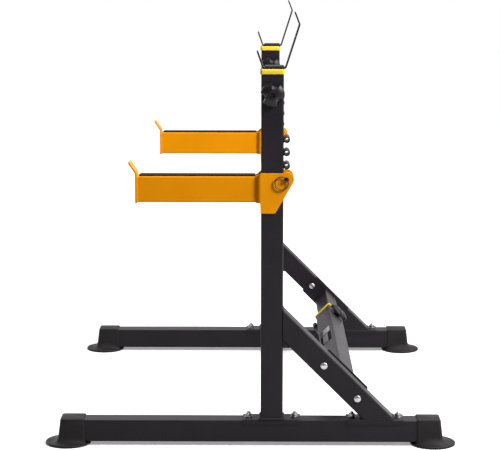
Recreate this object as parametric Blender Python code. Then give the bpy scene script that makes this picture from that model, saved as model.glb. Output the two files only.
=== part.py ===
"""Adjustable squat rack with spotter arms, made of two side frames joined by a telescopic crossbar.

X runs from the front (where the spotter arms point) to the rear, Y across the rack to the lifter's
left, and Z up from the floor. All sizes are in metres. The right and left side frames are alike and
not mirrored, so each frame is modelled once, about its own middle plane.
"""

import math

import bmesh
import bpy
from mathutils import Vector

# Running and assembly clearance between pieces that touch
GAP = 0.0003

# Square tube of the base, upright, brace and crossbar
TUBE = 0.060
TUBE_WALL = 0.002
TUBE_CORNER = 0.0045
CORNER_STEPS = 2

# Tube that slides inside the upright and inside the crossbar
SLIDER = 0.050
SLIDER_WALL = 0.002
SLIDER_CORNER = 0.004

# Layout of one side frame
FRAME_SPACING = 1.120
BASE_LENGTH = 1.028
BASE_CLEARANCE = 0.011
UPRIGHT_X = 0.0575
UPRIGHT_TOP = 1.009
WELD_LEG = 0.005

# Rubber feet
FOOT_RADIUS = 0.062
FOOT_REACH = 0.046
FOOT_RIM = 0.007
FOOT_RIM_BEVEL = 0.002
FOOT_WALL = 0.003
FOOT_TOP_BEVEL = 0.002
FOOT_CAP_GRIP = 0.062
FOOT_END_WALL = 0.003
FOOT_END_LEAN = 0.005
FOOT_FLARE_TOP = 0.031
FOOT_INNER_CORNER = 0.0035
FOOT_OUTER_CORNER = 0.008
FOOT_SIDE_STEPS = 5
FOOT_FLARE_STEPS = 4

# Folded saddles that sit over the base tube
SADDLE_LENGTH = 0.156
SADDLE_PLATE = 0.003
SADDLE_LIP = 0.013
SADDLE_BEND = 0.004
SADDLE_BOLT_SPACING = 0.126

# Brace
BRACE_SLOPE = math.radians(45)
BRACE_SADDLE_SETBACK = 0.035
BRACE_FOOT_BEHIND_SADDLE = 0.0089
GUSSET_LEG = 0.0195
GUSSET_PLATE = 0.004

# Bolts, washers and nuts
BOLT_RADIUS = 0.005
BOLT_HOLE_RADIUS = 0.0056
BOLT_HEAD_RADIUS = 0.0098
BOLT_HEAD_HEIGHT = 0.005
BOLT_HEAD_RIM = 0.0015
BOLT_CROWN_RADIUS = 0.006
WASHER_RADIUS = 0.011
WASHER_THICKNESS = 0.002
NUT_ACROSS_FLATS = 0.017
NUT_HEIGHT = 0.008
BOLT_TIP = 0.005
BOLT_SIDES = 12
HOLE_SIDES = 8

# Plastic collars that guide the sliding tubes
COLLAR_SIDE = 0.0654
COLLAR_HEIGHT = 0.012
COLLAR_CORNER = 0.007
COLLAR_EDGE = 0.0015
COLLAR_LIP = 0.0012
COLLAR_LIP_WALL = 0.002
COLLAR_DEPTH = 0.040

# Height post and its holes
POST_LENGTH = 0.720
POST_HOLE_RADIUS = 0.00625
POST_HOLE_PITCH = 0.050
POST_HOLE_COUNT = 11
POST_HOLE_SIDES = 8

# Cradle bent from flat strip, measured from the post's axis and from the top of its base
CRADLE_WIDTH = 0.050
CRADLE_STRIP = 0.004
CRADLE_BEND = 0.005
CRADLE_FRONT_X = -0.025
CRADLE_REAR_X = 0.0345
CRADLE_FRONT_TIP = (-0.0405, 0.042)
CRADLE_KNEE = (0.071, 0.112)
CRADLE_REAR_TIP = (0.0585, 0.144)
CRADLE_PAD_LENGTH = 0.050
CRADLE_PAD_THICKNESS = 0.004
PAD_EDGE = 0.001
PAD_CORNER = 0.003

# Three-lobed clamping knobs
KNOB_RADIUS = 0.032
KNOB_SCALLOP_RADIUS = 0.0128
KNOB_SCALLOP_DEPTH = 0.010
KNOB_FIRST_SCALLOP = math.radians(74)
KNOB_RIM = 0.012
KNOB_CROWN = 0.018
KNOB_EDGE = 0.003
KNOB_SHOULDER = 0.62
KNOB_RECESS = 0.012
KNOB_RECESS_DEPTH = 0.005
KNOB_ARC_STEPS = 5
KNOB_BOSS_RADIUS = 0.011
KNOB_BOSS_HEIGHT = 0.003
STUD_RADIUS = 0.005
STUD_HOLE_RADIUS = 0.0056
POST_KNOB_HEIGHT = 0.9565

# Sleeves on the back of the upright, for the pin of the spotter arm
SLEEVE_RADIUS = 0.0088
SLEEVE_BORE_RADIUS = 0.0054
SLEEVE_LENGTH = 0.060
SLEEVE_OVERLAP = 0.0008
SLEEVE_PITCH = 0.035
SLEEVE_COUNT = 4
SLEEVE_SIDES = 14
PIN_HEIGHT = 0.7313

# Pin with its pull ring
PIN_RADIUS = 0.005
PIN_HEAD_RADIUS = 0.006
PIN_HEAD_LENGTH = 0.010
PIN_TIP = 0.006
PIN_TIP_CHAMFER = 0.002
RING_RADIUS = 0.0175
RING_WIRE = 0.00175
RING_HOLE_RADIUS = 0.0028
RING_SAG = 0.0005
RING_ANGLE = math.radians(218)
RING_STEPS = 22
RING_SIDES = 6

# Spotter arm
BRACKET_PLATE = 0.005
BRACKET_SIDE_GAP = 0.001
BRACKET_BEND = 0.0069
LINER_THICKNESS = 0.0057
LINER_HEIGHT = 0.046
LINER_WIDTH = 0.044
LINER_UP = 0.005
BRACKET_RISE = 0.0164
BRACKET_DROP = 0.0916
BRACKET_SLOPE = math.radians(60)
BRACKET_CORNER = 0.008
BRACKET_EAR = 0.0195
BRACKET_CHAMFER_BACK = 0.0094
BRACKET_CHAMFER_DROP = 0.0054
ARM_WIDTH = 0.050
ARM_HEIGHT = 0.070
ARM_WALL = 0.0025
ARM_CORNER = 0.004
ARM_LENGTH = 0.318
ARM_RISE = 0.0069
WELD_LAND = 0.001
STOP_PLATE = 0.005
STOP_WIDTH = 0.056
STOP_DROP = 0.003
STOP_RISE = 0.008
STOP_BEND = 0.006
STOP_LIP = 0.034
STOP_LIP_LEAN = math.radians(34)
ARM_PAD_WIDTH = 0.044
ARM_PAD_THICKNESS = 0.003
ARM_PAD_FRONT = 0.006
ARM_PAD_REAR = 0.004

# Telescopic crossbar between the braces
CROSSBAR_UP_BRACE = 0.1468
CROSSBAR_OUTER_LENGTH = 0.770
CROSSBAR_INNER_LENGTH = 0.620
MOUNT_PLATE = 0.004
MOUNT_PLATE_LENGTH = 0.157
MOUNT_PLATE_WIDTH = 0.068
MOUNT_PLATE_CORNER = 0.006
MOUNT_BOLT_SPACING = 0.129
UPPER_KNOB_FROM_END = 0.060
LOWER_KNOB_FROM_END = 0.070

# Heights and places that follow from the sizes above
BASE_TOP = BASE_CLEARANCE + TUBE
SADDLE_TOP = BASE_TOP + GAP + SADDLE_PLATE
UPRIGHT_FOOT = SADDLE_TOP + GAP
UPRIGHT_REAR_X = UPRIGHT_X + TUBE / 2
BRACE_SADDLE_X = BASE_LENGTH / 2 - FOOT_CAP_GRIP - BRACE_SADDLE_SETBACK - SADDLE_LENGTH / 2
BRACE_FOOT_X = BRACE_SADDLE_X + BRACE_FOOT_BEHIND_SADDLE
BRACE_FOOT_Z = SADDLE_TOP + GAP
BRACE_TOP_HEIGHT = BRACE_FOOT_Z + (BRACE_FOOT_X - UPRIGHT_REAR_X) * math.tan(BRACE_SLOPE)
POST_TOP = UPRIGHT_TOP + GAP + COLLAR_HEIGHT + COLLAR_LIP
PIN_X = UPRIGHT_REAR_X + SLEEVE_RADIUS - SLEEVE_OVERLAP
BRACKET_INNER = TUBE / 2 + BRACKET_SIDE_GAP
BRACKET_OUTER = BRACKET_INNER + BRACKET_PLATE
WEB_INNER_X = UPRIGHT_X - TUBE / 2 - 2 * GAP - LINER_THICKNESS
WEB_OUTER_X = WEB_INNER_X - BRACKET_PLATE
BRACKET_BOTTOM = PIN_HEIGHT - BRACKET_DROP
ARM_TOP = PIN_HEIGHT + ARM_RISE
ARM_REAR_X = WEB_OUTER_X - GAP
ARM_FRONT_X = ARM_REAR_X - ARM_LENGTH
WEB_BOTTOM = ARM_TOP - ARM_HEIGHT - WELD_LAND
FRAME_HALF_SPACING = FRAME_SPACING / 2

# Small sizes used by the mesh builders
CUT_OVERSHOOT = 0.004
LEAST_CORNER_SHARE = 0.25
BEND_STEPS = 4
EAR_STEPS = 10
SEAT_OVERLAP = 0.001

SIDES = {"right": -FRAME_HALF_SPACING, "left": FRAME_HALF_SPACING}


# Scene, materials and objects


def clear_scene():
    for obj in list(bpy.data.objects):
        bpy.data.objects.remove(obj, do_unlink=True)


def make_material(name, colour, roughness, metallic):
    material = bpy.data.materials.new(name)
    material.use_nodes = True
    shader = material.node_tree.nodes["Principled BSDF"]
    shader.inputs["Base Color"].default_value = (*colour, 1.0)
    shader.inputs["Roughness"].default_value = roughness
    shader.inputs["Metallic"].default_value = metallic
    material.diffuse_color = (*colour, 1.0)
    return material


def make_materials():
    return {
        "black_powder_coat": make_material("black_powder_coat", (0.020, 0.019, 0.022), 0.42, 0.0),
        "orange_powder_coat": make_material("orange_powder_coat", (0.86, 0.36, 0.01), 0.40, 0.0),
        "yellow_plastic": make_material("yellow_plastic", (0.87, 0.68, 0.03), 0.45, 0.0),
        "black_plastic": make_material("black_plastic", (0.030, 0.030, 0.032), 0.50, 0.0),
        "black_rubber": make_material("black_rubber", (0.022, 0.022, 0.023), 0.70, 0.0),
        "zinc_steel": make_material("zinc_steel", (0.66, 0.66, 0.68), 0.30, 1.0),
        "dark_steel": make_material("dark_steel", (0.10, 0.10, 0.11), 0.38, 1.0),
    }


def add_empty(name, parent=None, location=(0, 0, 0), rotation=(0, 0, 0)):
    empty = bpy.data.objects.new(name, None)
    empty.empty_display_size = 0.03
    empty.parent = parent
    empty.location = location
    empty.rotation_euler = rotation
    bpy.context.scene.collection.objects.link(empty)
    return empty


def add_part(name, solid, material, parent, location=(0, 0, 0), rotation=(0, 0, 0), smooth=False):
    """Turns a bmesh into a named object under its parent."""
    mesh = bpy.data.meshes.new(name)
    bmesh.ops.recalc_face_normals(solid, faces=solid.faces)
    solid.to_mesh(mesh)
    solid.free()
    if smooth:
        mesh.shade_smooth()
        mesh.set_sharp_from_angle(angle=math.radians(35))
    if material is not None:
        mesh.materials.append(material)
    part = bpy.data.objects.new(name, mesh)
    part.parent = parent
    part.location = location
    part.rotation_euler = rotation
    bpy.context.scene.collection.objects.link(part)
    return part


def combine(part, operation, solid, parent, location=(0, 0, 0), rotation=(0, 0, 0)):
    """Adds a Boolean to the part, with the given solid as its hidden operand."""
    tool_name = f"{part.name}_{operation.lower()}_{len(part.modifiers)}"
    tool = add_part(tool_name, solid, None, parent, location, rotation)
    tool.hide_render = True
    tool.display_type = "WIRE"
    modifier = part.modifiers.new(operation.title(), "BOOLEAN")
    modifier.operation = operation
    modifier.object = tool


def cut(part, solid, parent, location=(0, 0, 0), rotation=(0, 0, 0)):
    combine(part, "DIFFERENCE", solid, parent, location, rotation)


def join(part, solid, parent, location=(0, 0, 0), rotation=(0, 0, 0)):
    combine(part, "UNION", solid, parent, location, rotation)


# Outlines and solids


def arc(centre, radius, start, end, steps):
    """Points on an arc from the start angle to the end angle, both included."""
    points = []
    for step in range(steps + 1):
        angle = start + (end - start) * step / steps
        points.append((centre[0] + radius * math.cos(angle), centre[1] + radius * math.sin(angle)))
    return points


def circle(radius, sides):
    return arc((0, 0), radius, 0, 2 * math.pi * (sides - 1) / sides, sides - 1)


def rounded_box(low, high, radii, steps):
    """Rectangle with a radius for each corner, from the low-x low-y corner on, anticlockwise."""
    corners = [
        ((low[0], low[1]), (1, 1), math.pi),
        ((high[0], low[1]), (-1, 1), 1.5 * math.pi),
        ((high[0], high[1]), (-1, -1), 0.0),
        ((low[0], high[1]), (1, -1), 0.5 * math.pi),
    ]
    points = []
    for (corner, inward, start), radius in zip(corners, radii):
        centre = (corner[0] + inward[0] * radius, corner[1] + inward[1] * radius)
        points += arc(centre, radius, start, start + math.pi / 2, steps)
    return points


def rounded_square(side, corner):
    half = side / 2
    return rounded_box((-half, -half), (half, half), [corner] * 4, CORNER_STEPS)


def loft(rings, loop=False, solid=None):
    """Skins rings of as many points each. A loop closes on its first ring, others have capped ends."""
    solid = solid or bmesh.new()
    rows = [[solid.verts.new(point) for point in ring] for ring in rings]
    following = rows[1:] + rows[:1] if loop else rows[1:]
    for row, after in zip(rows, following):
        for index in range(len(row)):
            other = (index + 1) % len(row)
            solid.faces.new((row[index], row[other], after[other], after[index]))
    if not loop:
        solid.faces.new(list(reversed(rows[0])))
        solid.faces.new(rows[-1])
    return solid


def flat_ring(outline, z):
    return [(x, y, z) for x, y in outline]


def prism(outline, bottom, top, solid=None):
    return loft([flat_ring(outline, bottom), flat_ring(outline, top)], solid=solid)


def hollow_square(profile, corner):
    """Sweeps a closed profile of (side, z) points round a square with rounded corners."""
    widest = max(side for side, _ in profile)
    rings = []
    for side, z in profile:
        radius = max(corner - (widest - side) / 2, corner * LEAST_CORNER_SHARE)
        rings.append(flat_ring(rounded_square(side, radius), z))
    return loft(rings, loop=True)


def square_tube(side, wall, corner, length):
    inner = side - 2 * wall
    return hollow_square([(side, 0), (side, length), (inner, length), (inner, 0)], corner)


def round_cylinders(places, radius, bottom, top, sides):
    """Cylinders along Z at several (x, y) places, as one operand."""
    solid = bmesh.new()
    for place in places:
        outline = [(place[0] + x, place[1] + y) for x, y in circle(radius, sides)]
        prism(outline, bottom, top, solid)
    return solid


def bent_path(points, radius):
    """Samples a path with rounded bends, each sample being a point and the way it heads."""
    corners = [Vector(point) for point in points]
    samples = [(corners[0], (corners[1] - corners[0]).normalized())]
    for before, corner, after in zip(corners, corners[1:], corners[2:]):
        way_in = (corner - before).normalized()
        way_out = (after - corner).normalized()
        turn = way_in.angle_signed(way_out)
        reach = radius * math.tan(abs(turn) / 2)
        start = corner - way_in * reach
        side = Vector((-way_in.y, way_in.x)) * (-1 if turn > 0 else 1)
        centre = start + side * radius
        for step in range(BEND_STEPS + 1):
            angle = turn * step / BEND_STEPS
            spoke = rotated(-side, -angle)
            samples.append((centre + spoke * radius, rotated(way_in, -angle)))
    samples.append((corners[-1], (corners[-1] - corners[-2]).normalized()))
    return samples


def rotated(vector, angle):
    cosine, sine = math.cos(angle), math.sin(angle)
    return Vector((vector.x * cosine - vector.y * sine, vector.x * sine + vector.y * cosine))


def strip_outline(points, thickness, radius):
    """Outline of a bent strip of even thickness about its middle line."""
    left, right = [], []
    for point, way in bent_path(points, radius):
        normal = Vector((-way.y, way.x)) * (thickness / 2)
        left.append(tuple(point + normal))
        right.append(tuple(point - normal))
    return left + right[::-1]


def strip_across(outline, width):
    """Extrudes an outline drawn in X and Z over a width centred on Y."""
    near = [(x, -width / 2, z) for x, z in outline]
    far = [(x, width / 2, z) for x, z in outline]
    return loft([near, far])


# Sub-parts


def add_base_tube(side, frame, materials):
    """Long floor tube with the four pairs of holes that its saddle bolts pass."""
    turned = (0, math.pi / 2, 0)
    start = (-BASE_LENGTH / 2, 0, BASE_CLEARANCE + TUBE / 2)
    shape = square_tube(TUBE, TUBE_WALL, TUBE_CORNER, BASE_LENGTH)
    tube = add_part(f"{side}_base_tube", shape, materials["black_powder_coat"], frame, start, turned)
    places = [(x, 0) for _, x in saddle_bolt_places()]
    holes = round_cylinders(places, BOLT_HOLE_RADIUS, -CUT_OVERSHOOT, TUBE + CUT_OVERSHOOT, HOLE_SIDES)
    cut(tube, holes, frame, (0, 0, BASE_CLEARANCE))


def foot_cap_outline(inset, lean):
    """Plan of the cap over the tube's end, with the tube's end at x = 0 and the rack at -x."""
    half = TUBE / 2 + FOOT_WALL - inset
    low = (-FOOT_CAP_GRIP, -half)
    high = (FOOT_END_WALL + FOOT_END_LEAN - lean - inset, half)
    inner = FOOT_INNER_CORNER
    outer = FOOT_OUTER_CORNER - inset
    corners = rounded_box(low, high, [inner, outer, outer, inner], CORNER_STEPS)
    outline = []
    for index, point in enumerate(corners):
        outline.append(point)
        if index % (CORNER_STEPS + 1) == CORNER_STEPS:
            after = corners[(index + 1) % len(corners)]
            for step in range(1, FOOT_SIDE_STEPS):
                share = step / FOOT_SIDE_STEPS
                outline.append(tuple(Vector(point).lerp(Vector(after), share)))
    return outline


def foot_flange_outline(radius):
    """Circle with one point for each point of the cap's plan, in the same directions."""
    flange = []
    centre_x = FOOT_REACH - FOOT_RADIUS
    for x, y in foot_cap_outline(0, 0):
        way = Vector((x - centre_x, y)).normalized()
        flange.append((centre_x + radius * way.x, radius * way.y))
    return flange


def foot_shape():
    """Round flange on the floor that flares up, through a hollow curve, into a square cap."""
    cap_top = BASE_TOP + FOOT_WALL
    edge = FOOT_RIM_BEVEL
    rings = [flat_ring(foot_flange_outline(FOOT_RADIUS - edge), 0)]
    rings.append(flat_ring(foot_flange_outline(FOOT_RADIUS), edge))
    rings.append(flat_ring(foot_flange_outline(FOOT_RADIUS), FOOT_RIM - edge))
    rim = foot_flange_outline(FOOT_RADIUS - edge)
    cap = foot_cap_outline(0, 0)
    for step in range(FOOT_FLARE_STEPS + 1):
        angle = math.pi / 2 * step / FOOT_FLARE_STEPS
        z = FOOT_RIM + (FOOT_FLARE_TOP - FOOT_RIM) * (1 - math.cos(angle))
        ring = []
        for outer, inner in zip(rim, cap):
            x, y = Vector(outer).lerp(Vector(inner), math.sin(angle))
            ring.append((x, y, z))
        rings.append(ring)
    rings.append(flat_ring(foot_cap_outline(0, FOOT_END_LEAN), cap_top - FOOT_TOP_BEVEL))
    rings.append(flat_ring(foot_cap_outline(FOOT_TOP_BEVEL, FOOT_END_LEAN), cap_top))
    return loft(rings)


def add_foot(side, end, frame, materials):
    direction = -1 if end == "front" else 1
    turned = (0, 0, math.pi if end == "front" else 0)
    tube_end = direction * BASE_LENGTH / 2
    name = f"{side}_{end}_foot"
    rubber = materials["black_rubber"]
    foot = add_part(name, foot_shape(), rubber, frame, (tube_end, 0, 0), turned, smooth=True)
    pocket_length = 2 * FOOT_RADIUS
    pocket = prism(rounded_square(TUBE + 2 * GAP, TUBE_CORNER + GAP), 0, pocket_length)
    pocket_start = tube_end + direction * GAP
    pocket_x = pocket_start if direction < 0 else pocket_start - pocket_length
    cut(foot, pocket, frame, (pocket_x, 0, BASE_CLEARANCE + TUBE / 2), (0, math.pi / 2, 0))


def saddle_bolt_places():
    """Name and x of each bolt that holds a saddle down."""
    half = SADDLE_BOLT_SPACING / 2
    return [
        ("upright_front_bolt", UPRIGHT_X - half),
        ("upright_rear_bolt", UPRIGHT_X + half),
        ("brace_front_bolt", BRACE_SADDLE_X - half),
        ("brace_rear_bolt", BRACE_SADDLE_X + half),
    ]


def add_saddle(side, name, centre_x, frame, materials):
    """Folded plate over the base tube, with a lip down each side and a bolt hole at each end."""
    middle = TUBE / 2 + GAP + SADDLE_PLATE / 2
    low = SADDLE_TOP - SADDLE_LIP
    high = SADDLE_TOP - SADDLE_PLATE / 2
    folds = [(-middle, low), (-middle, high), (middle, high), (middle, low)]
    section = strip_outline(folds, SADDLE_PLATE, SADDLE_BEND)
    start = centre_x - SADDLE_LENGTH / 2
    end = centre_x + SADDLE_LENGTH / 2
    shape = loft([[(start, y, z) for y, z in section], [(end, y, z) for y, z in section]])
    saddle = add_part(f"{side}_{name}", shape, materials["black_powder_coat"], frame)
    places = [(centre_x - SADDLE_BOLT_SPACING / 2, 0), (centre_x + SADDLE_BOLT_SPACING / 2, 0)]
    bottom = SADDLE_TOP - SADDLE_PLATE - CUT_OVERSHOOT
    holes = round_cylinders(places, BOLT_HOLE_RADIUS, bottom, SADDLE_TOP + CUT_OVERSHOOT, HOLE_SIDES)
    cut(saddle, holes, frame)


def hexagon(across_flats):
    """Hexagon with a point at each corner and at the middle of each flat."""
    apothem = across_flats / 2
    points = []
    for index in range(BOLT_SIDES):
        angle = 2 * math.pi * index / BOLT_SIDES
        radius = apothem / math.cos(math.pi / 6) if index % 2 else apothem
        points.append((radius * math.cos(angle), radius * math.sin(angle)))
    return points


def bolt_shape(grip):
    """Domed bolt with its washer and nut done up, head at -Z, gripping from z = 0 to z = grip."""
    head_base = -GAP
    washer = grip + GAP
    nut = washer + WASHER_THICKNESS
    nut_top = nut + NUT_HEIGHT
    rings = [
        flat_ring(circle(BOLT_CROWN_RADIUS, BOLT_SIDES), head_base - BOLT_HEAD_HEIGHT),
        flat_ring(circle(BOLT_HEAD_RADIUS, BOLT_SIDES), head_base - BOLT_HEAD_RIM),
        flat_ring(circle(BOLT_HEAD_RADIUS, BOLT_SIDES), head_base),
        flat_ring(circle(BOLT_RADIUS, BOLT_SIDES), head_base),
        flat_ring(circle(BOLT_RADIUS, BOLT_SIDES), washer),
        flat_ring(circle(WASHER_RADIUS, BOLT_SIDES), washer),
        flat_ring(circle(WASHER_RADIUS, BOLT_SIDES), nut),
        flat_ring(hexagon(NUT_ACROSS_FLATS), nut),
        flat_ring(hexagon(NUT_ACROSS_FLATS), nut_top),
        flat_ring(circle(BOLT_RADIUS, BOLT_SIDES), nut_top),
        flat_ring(circle(BOLT_RADIUS, BOLT_SIDES), nut_top + BOLT_TIP),
    ]
    return loft(rings)


def add_saddle_bolts(side, frame, materials):
    grip = SADDLE_TOP - BASE_CLEARANCE
    for name, x in saddle_bolt_places():
        place = (x, 0, BASE_CLEARANCE)
        add_part(f"{side}_{name}", bolt_shape(grip), materials["zinc_steel"], frame, place, smooth=True)


def add_upright(side, frame, materials):
    """Upright tube with its weld foot, the sleeves for the arm pin and the boss of the post knob."""
    inner = TUBE - 2 * TUBE_WALL
    height = UPRIGHT_TOP - UPRIGHT_FOOT
    profile = [(TUBE + 2 * WELD_LEG, 0), (TUBE, WELD_LEG), (TUBE, height), (inner, height), (inner, 0)]
    shape = hollow_square(profile, TUBE_CORNER + WELD_LEG)
    place = (UPRIGHT_X, 0, UPRIGHT_FOOT)
    upright = add_part(f"{side}_upright_tube", shape, materials["black_powder_coat"], frame, place)
    along_y = (math.pi / 2, 0, 0)
    rows = [(PIN_X, PIN_HEIGHT + index * SLEEVE_PITCH) for index in range(SLEEVE_COUNT)]
    half = SLEEVE_LENGTH / 2
    sleeves = round_cylinders(rows, SLEEVE_RADIUS, -half, half, SLEEVE_SIDES)
    join(upright, sleeves, frame, rotation=along_y)
    knob_place = [(UPRIGHT_X, POST_KNOB_HEIGHT)]
    boss_low = TUBE / 2 - SEAT_OVERLAP
    boss_high = TUBE / 2 + KNOB_BOSS_HEIGHT
    boss = round_cylinders(knob_place, KNOB_BOSS_RADIUS, boss_low, boss_high, SLEEVE_SIDES)
    join(upright, boss, frame, rotation=along_y)
    through = half + CUT_OVERSHOOT
    bores = round_cylinders(rows, SLEEVE_BORE_RADIUS, -through, through, SLEEVE_SIDES)
    cut(upright, bores, frame, rotation=along_y)
    outside = boss_high + CUT_OVERSHOOT
    stud_hole = round_cylinders(knob_place, STUD_HOLE_RADIUS, SLIDER / 2, outside, HOLE_SIDES)
    cut(upright, stud_hole, frame, rotation=along_y)


def brace_axis():
    """Point where the brace's middle line meets the upright, and the way it runs down and back."""
    start = Vector((UPRIGHT_REAR_X, 0, BRACE_TOP_HEIGHT))
    way = Vector((math.cos(BRACE_SLOPE), 0, -math.sin(BRACE_SLOPE)))
    return start, way


def add_brace(side, frame, materials):
    """Square tube cut upright where it meets the upright and level where it meets its saddle."""
    start, way = brace_axis()
    up = Vector((way.z, 0, -way.x)) * -1
    top_x = UPRIGHT_REAR_X + GAP

    def mitred(outline, level):
        ring = []
        for across, y in outline:
            point = start + up * across + Vector((0, y, 0))
            travel = (top_x - point.x) / way.x if level == "top" else (BRACE_FOOT_Z - point.z) / way.z
            ring.append(tuple(point + way * travel))
        return ring

    outer = rounded_square(TUBE, TUBE_CORNER)
    inner = rounded_square(TUBE - 2 * TUBE_WALL, TUBE_CORNER - TUBE_WALL)
    rings = [mitred(outer, "top"), mitred(outer, "foot"), mitred(inner, "foot"), mitred(inner, "top")]
    black = materials["black_powder_coat"]
    brace = add_part(f"{side}_brace_tube", loft(rings, loop=True), black, frame)
    places = [(point.x, point.z) for point in mount_bolt_places()]
    reach = TUBE / 2 + CUT_OVERSHOOT
    holes = round_cylinders(places, BOLT_HOLE_RADIUS, -reach, reach, HOLE_SIDES)
    cut(brace, holes, frame, rotation=(math.pi / 2, 0, 0))


def crossbar_centre():
    _, way = brace_axis()
    return Vector((BRACE_FOOT_X, 0, BRACE_FOOT_Z)) - way * CROSSBAR_UP_BRACE


def mount_bolt_places():
    """Upper and lower bolt of a crossbar plate, on the brace's middle line."""
    _, way = brace_axis()
    offset = way * (MOUNT_BOLT_SPACING / 2)
    return [crossbar_centre() - offset, crossbar_centre() + offset]


def add_gusset(side, frame, materials):
    """Folded gusset in the corner under the brace, with a floor and two cheeks."""
    heel_z = BRACE_TOP_HEIGHT - TUBE / 2 / math.cos(BRACE_SLOPE)
    floor_z = heel_z - GUSSET_LEG
    back_x = UPRIGHT_REAR_X + GAP
    rise = heel_z - GAP / math.cos(BRACE_SLOPE) - floor_z
    toe_x = UPRIGHT_REAR_X + rise / math.tan(BRACE_SLOPE)
    head_z = floor_z + (toe_x - back_x) * math.tan(BRACE_SLOPE)
    shape = strip_across([(back_x, floor_z), (toe_x, floor_z), (back_x, head_z)], TUBE)
    gusset = add_part(f"{side}_brace_gusset", shape, materials["black_powder_coat"], frame)
    low = (back_x - CUT_OVERSHOOT, floor_z + GUSSET_PLATE)
    high = (toe_x + CUT_OVERSHOOT, head_z + CUT_OVERSHOOT)
    hollow = [low, (high[0], low[1]), high, (low[0], high[1])]
    cut(gusset, strip_across(hollow, TUBE - 2 * GUSSET_PLATE), frame)


def collar_shape():
    """Square plastic collar with a guide sleeve that fits between the outer and the sliding tube."""
    hole = SLIDER + 2 * GAP
    sleeve = TUBE - 2 * TUBE_WALL - 2 * GAP
    profile = [
        (sleeve, -COLLAR_DEPTH),
        (sleeve, 0),
        (COLLAR_SIDE, 0),
        (COLLAR_SIDE, COLLAR_HEIGHT - COLLAR_EDGE),
        (COLLAR_SIDE - 2 * COLLAR_EDGE, COLLAR_HEIGHT),
        (hole + 2 * COLLAR_LIP_WALL, COLLAR_HEIGHT),
        (hole + 2 * COLLAR_LIP_WALL, COLLAR_HEIGHT + COLLAR_LIP),
        (hole, COLLAR_HEIGHT + COLLAR_LIP),
        (hole, -COLLAR_DEPTH),
    ]
    return hollow_square(profile, COLLAR_CORNER)


def add_post(side, post_body, materials):
    """Sliding post with its row of holes towards the knob, drawn down from its top end."""
    shape = square_tube(SLIDER, SLIDER_WALL, SLIDER_CORNER, POST_LENGTH)
    place = (0, 0, -POST_LENGTH)
    post = add_part(f"{side}_post", shape, materials["black_powder_coat"], post_body, place)
    first = POST_KNOB_HEIGHT - POST_TOP
    rows = [(0, first - index * POST_HOLE_PITCH) for index in range(POST_HOLE_COUNT)]
    deep = SLIDER / 2 - SLIDER_WALL - CUT_OVERSHOOT
    holes = round_cylinders(rows, POST_HOLE_RADIUS, deep, SLIDER / 2 + CUT_OVERSHOOT, POST_HOLE_SIDES)
    cut(post, holes, post_body, rotation=(math.pi / 2, 0, 0))


def add_cradle(side, post_body, materials):
    """Bar cradle bent from one strip, short at the front, with a knee in its tall rear arm."""
    base_z = GAP + CRADLE_STRIP / 2
    floor_z = GAP + CRADLE_STRIP
    path = [
        (CRADLE_FRONT_TIP[0], floor_z + CRADLE_FRONT_TIP[1]),
        (CRADLE_FRONT_X, base_z),
        (CRADLE_REAR_X, base_z),
        (CRADLE_KNEE[0], floor_z + CRADLE_KNEE[1]),
        (CRADLE_REAR_TIP[0], floor_z + CRADLE_REAR_TIP[1]),
    ]
    outline = strip_outline(path, CRADLE_STRIP, CRADLE_BEND)
    shape = strip_across(outline, CRADLE_WIDTH)
    add_part(f"{side}_cradle", shape, materials["black_powder_coat"], post_body)
    half = CRADLE_PAD_LENGTH / 2
    middle = (CRADLE_FRONT_X + CRADLE_REAR_X) / 2
    width = CRADLE_WIDTH / 2 - CRADLE_STRIP / 2
    pad = cushion((middle - half, -width), (middle + half, width), CRADLE_PAD_THICKNESS)
    place = (0, 0, floor_z + GAP)
    add_part(f"{side}_cradle_pad", pad, materials["black_rubber"], post_body, place)


def cushion(low, high, thickness):
    """Flat rubber pad with a small bevel round its top."""
    outline = rounded_box(low, high, [PAD_CORNER] * 4, CORNER_STEPS)
    inset_low = (low[0] + PAD_EDGE, low[1] + PAD_EDGE)
    inset_high = (high[0] - PAD_EDGE, high[1] - PAD_EDGE)
    top = rounded_box(inset_low, inset_high, [PAD_CORNER - PAD_EDGE] * 4, CORNER_STEPS)
    rings = [flat_ring(outline, 0), flat_ring(outline, thickness - PAD_EDGE), flat_ring(top, thickness)]
    return loft(rings)


def knob_outline(scale):
    """Three lobes on a circle, parted by round scallops cut a third of a turn apart."""
    centre_distance = KNOB_RADIUS - KNOB_SCALLOP_DEPTH + KNOB_SCALLOP_RADIUS
    squares = KNOB_RADIUS**2 + centre_distance**2 - KNOB_SCALLOP_RADIUS**2
    half_opening = math.acos(squares / (2 * KNOB_RADIUS * centre_distance))
    tip = (KNOB_RADIUS * math.cos(half_opening), KNOB_RADIUS * math.sin(half_opening))
    sweep = math.atan2(tip[1], centre_distance - tip[0])
    points = []
    for lobe in range(3):
        scallop = KNOB_FIRST_SCALLOP + lobe * 2 * math.pi / 3
        centre = (centre_distance * math.cos(scallop), centre_distance * math.sin(scallop))
        facing = scallop + math.pi
        points += arc(centre, KNOB_SCALLOP_RADIUS, facing + sweep, facing - sweep, KNOB_ARC_STEPS)
        start = scallop + half_opening
        end = scallop + 2 * math.pi / 3 - half_opening
        points += arc((0, 0), KNOB_RADIUS, start, end, KNOB_ARC_STEPS)[1:-1]
    return [(x * scale, y * scale) for x, y in points]


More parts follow.
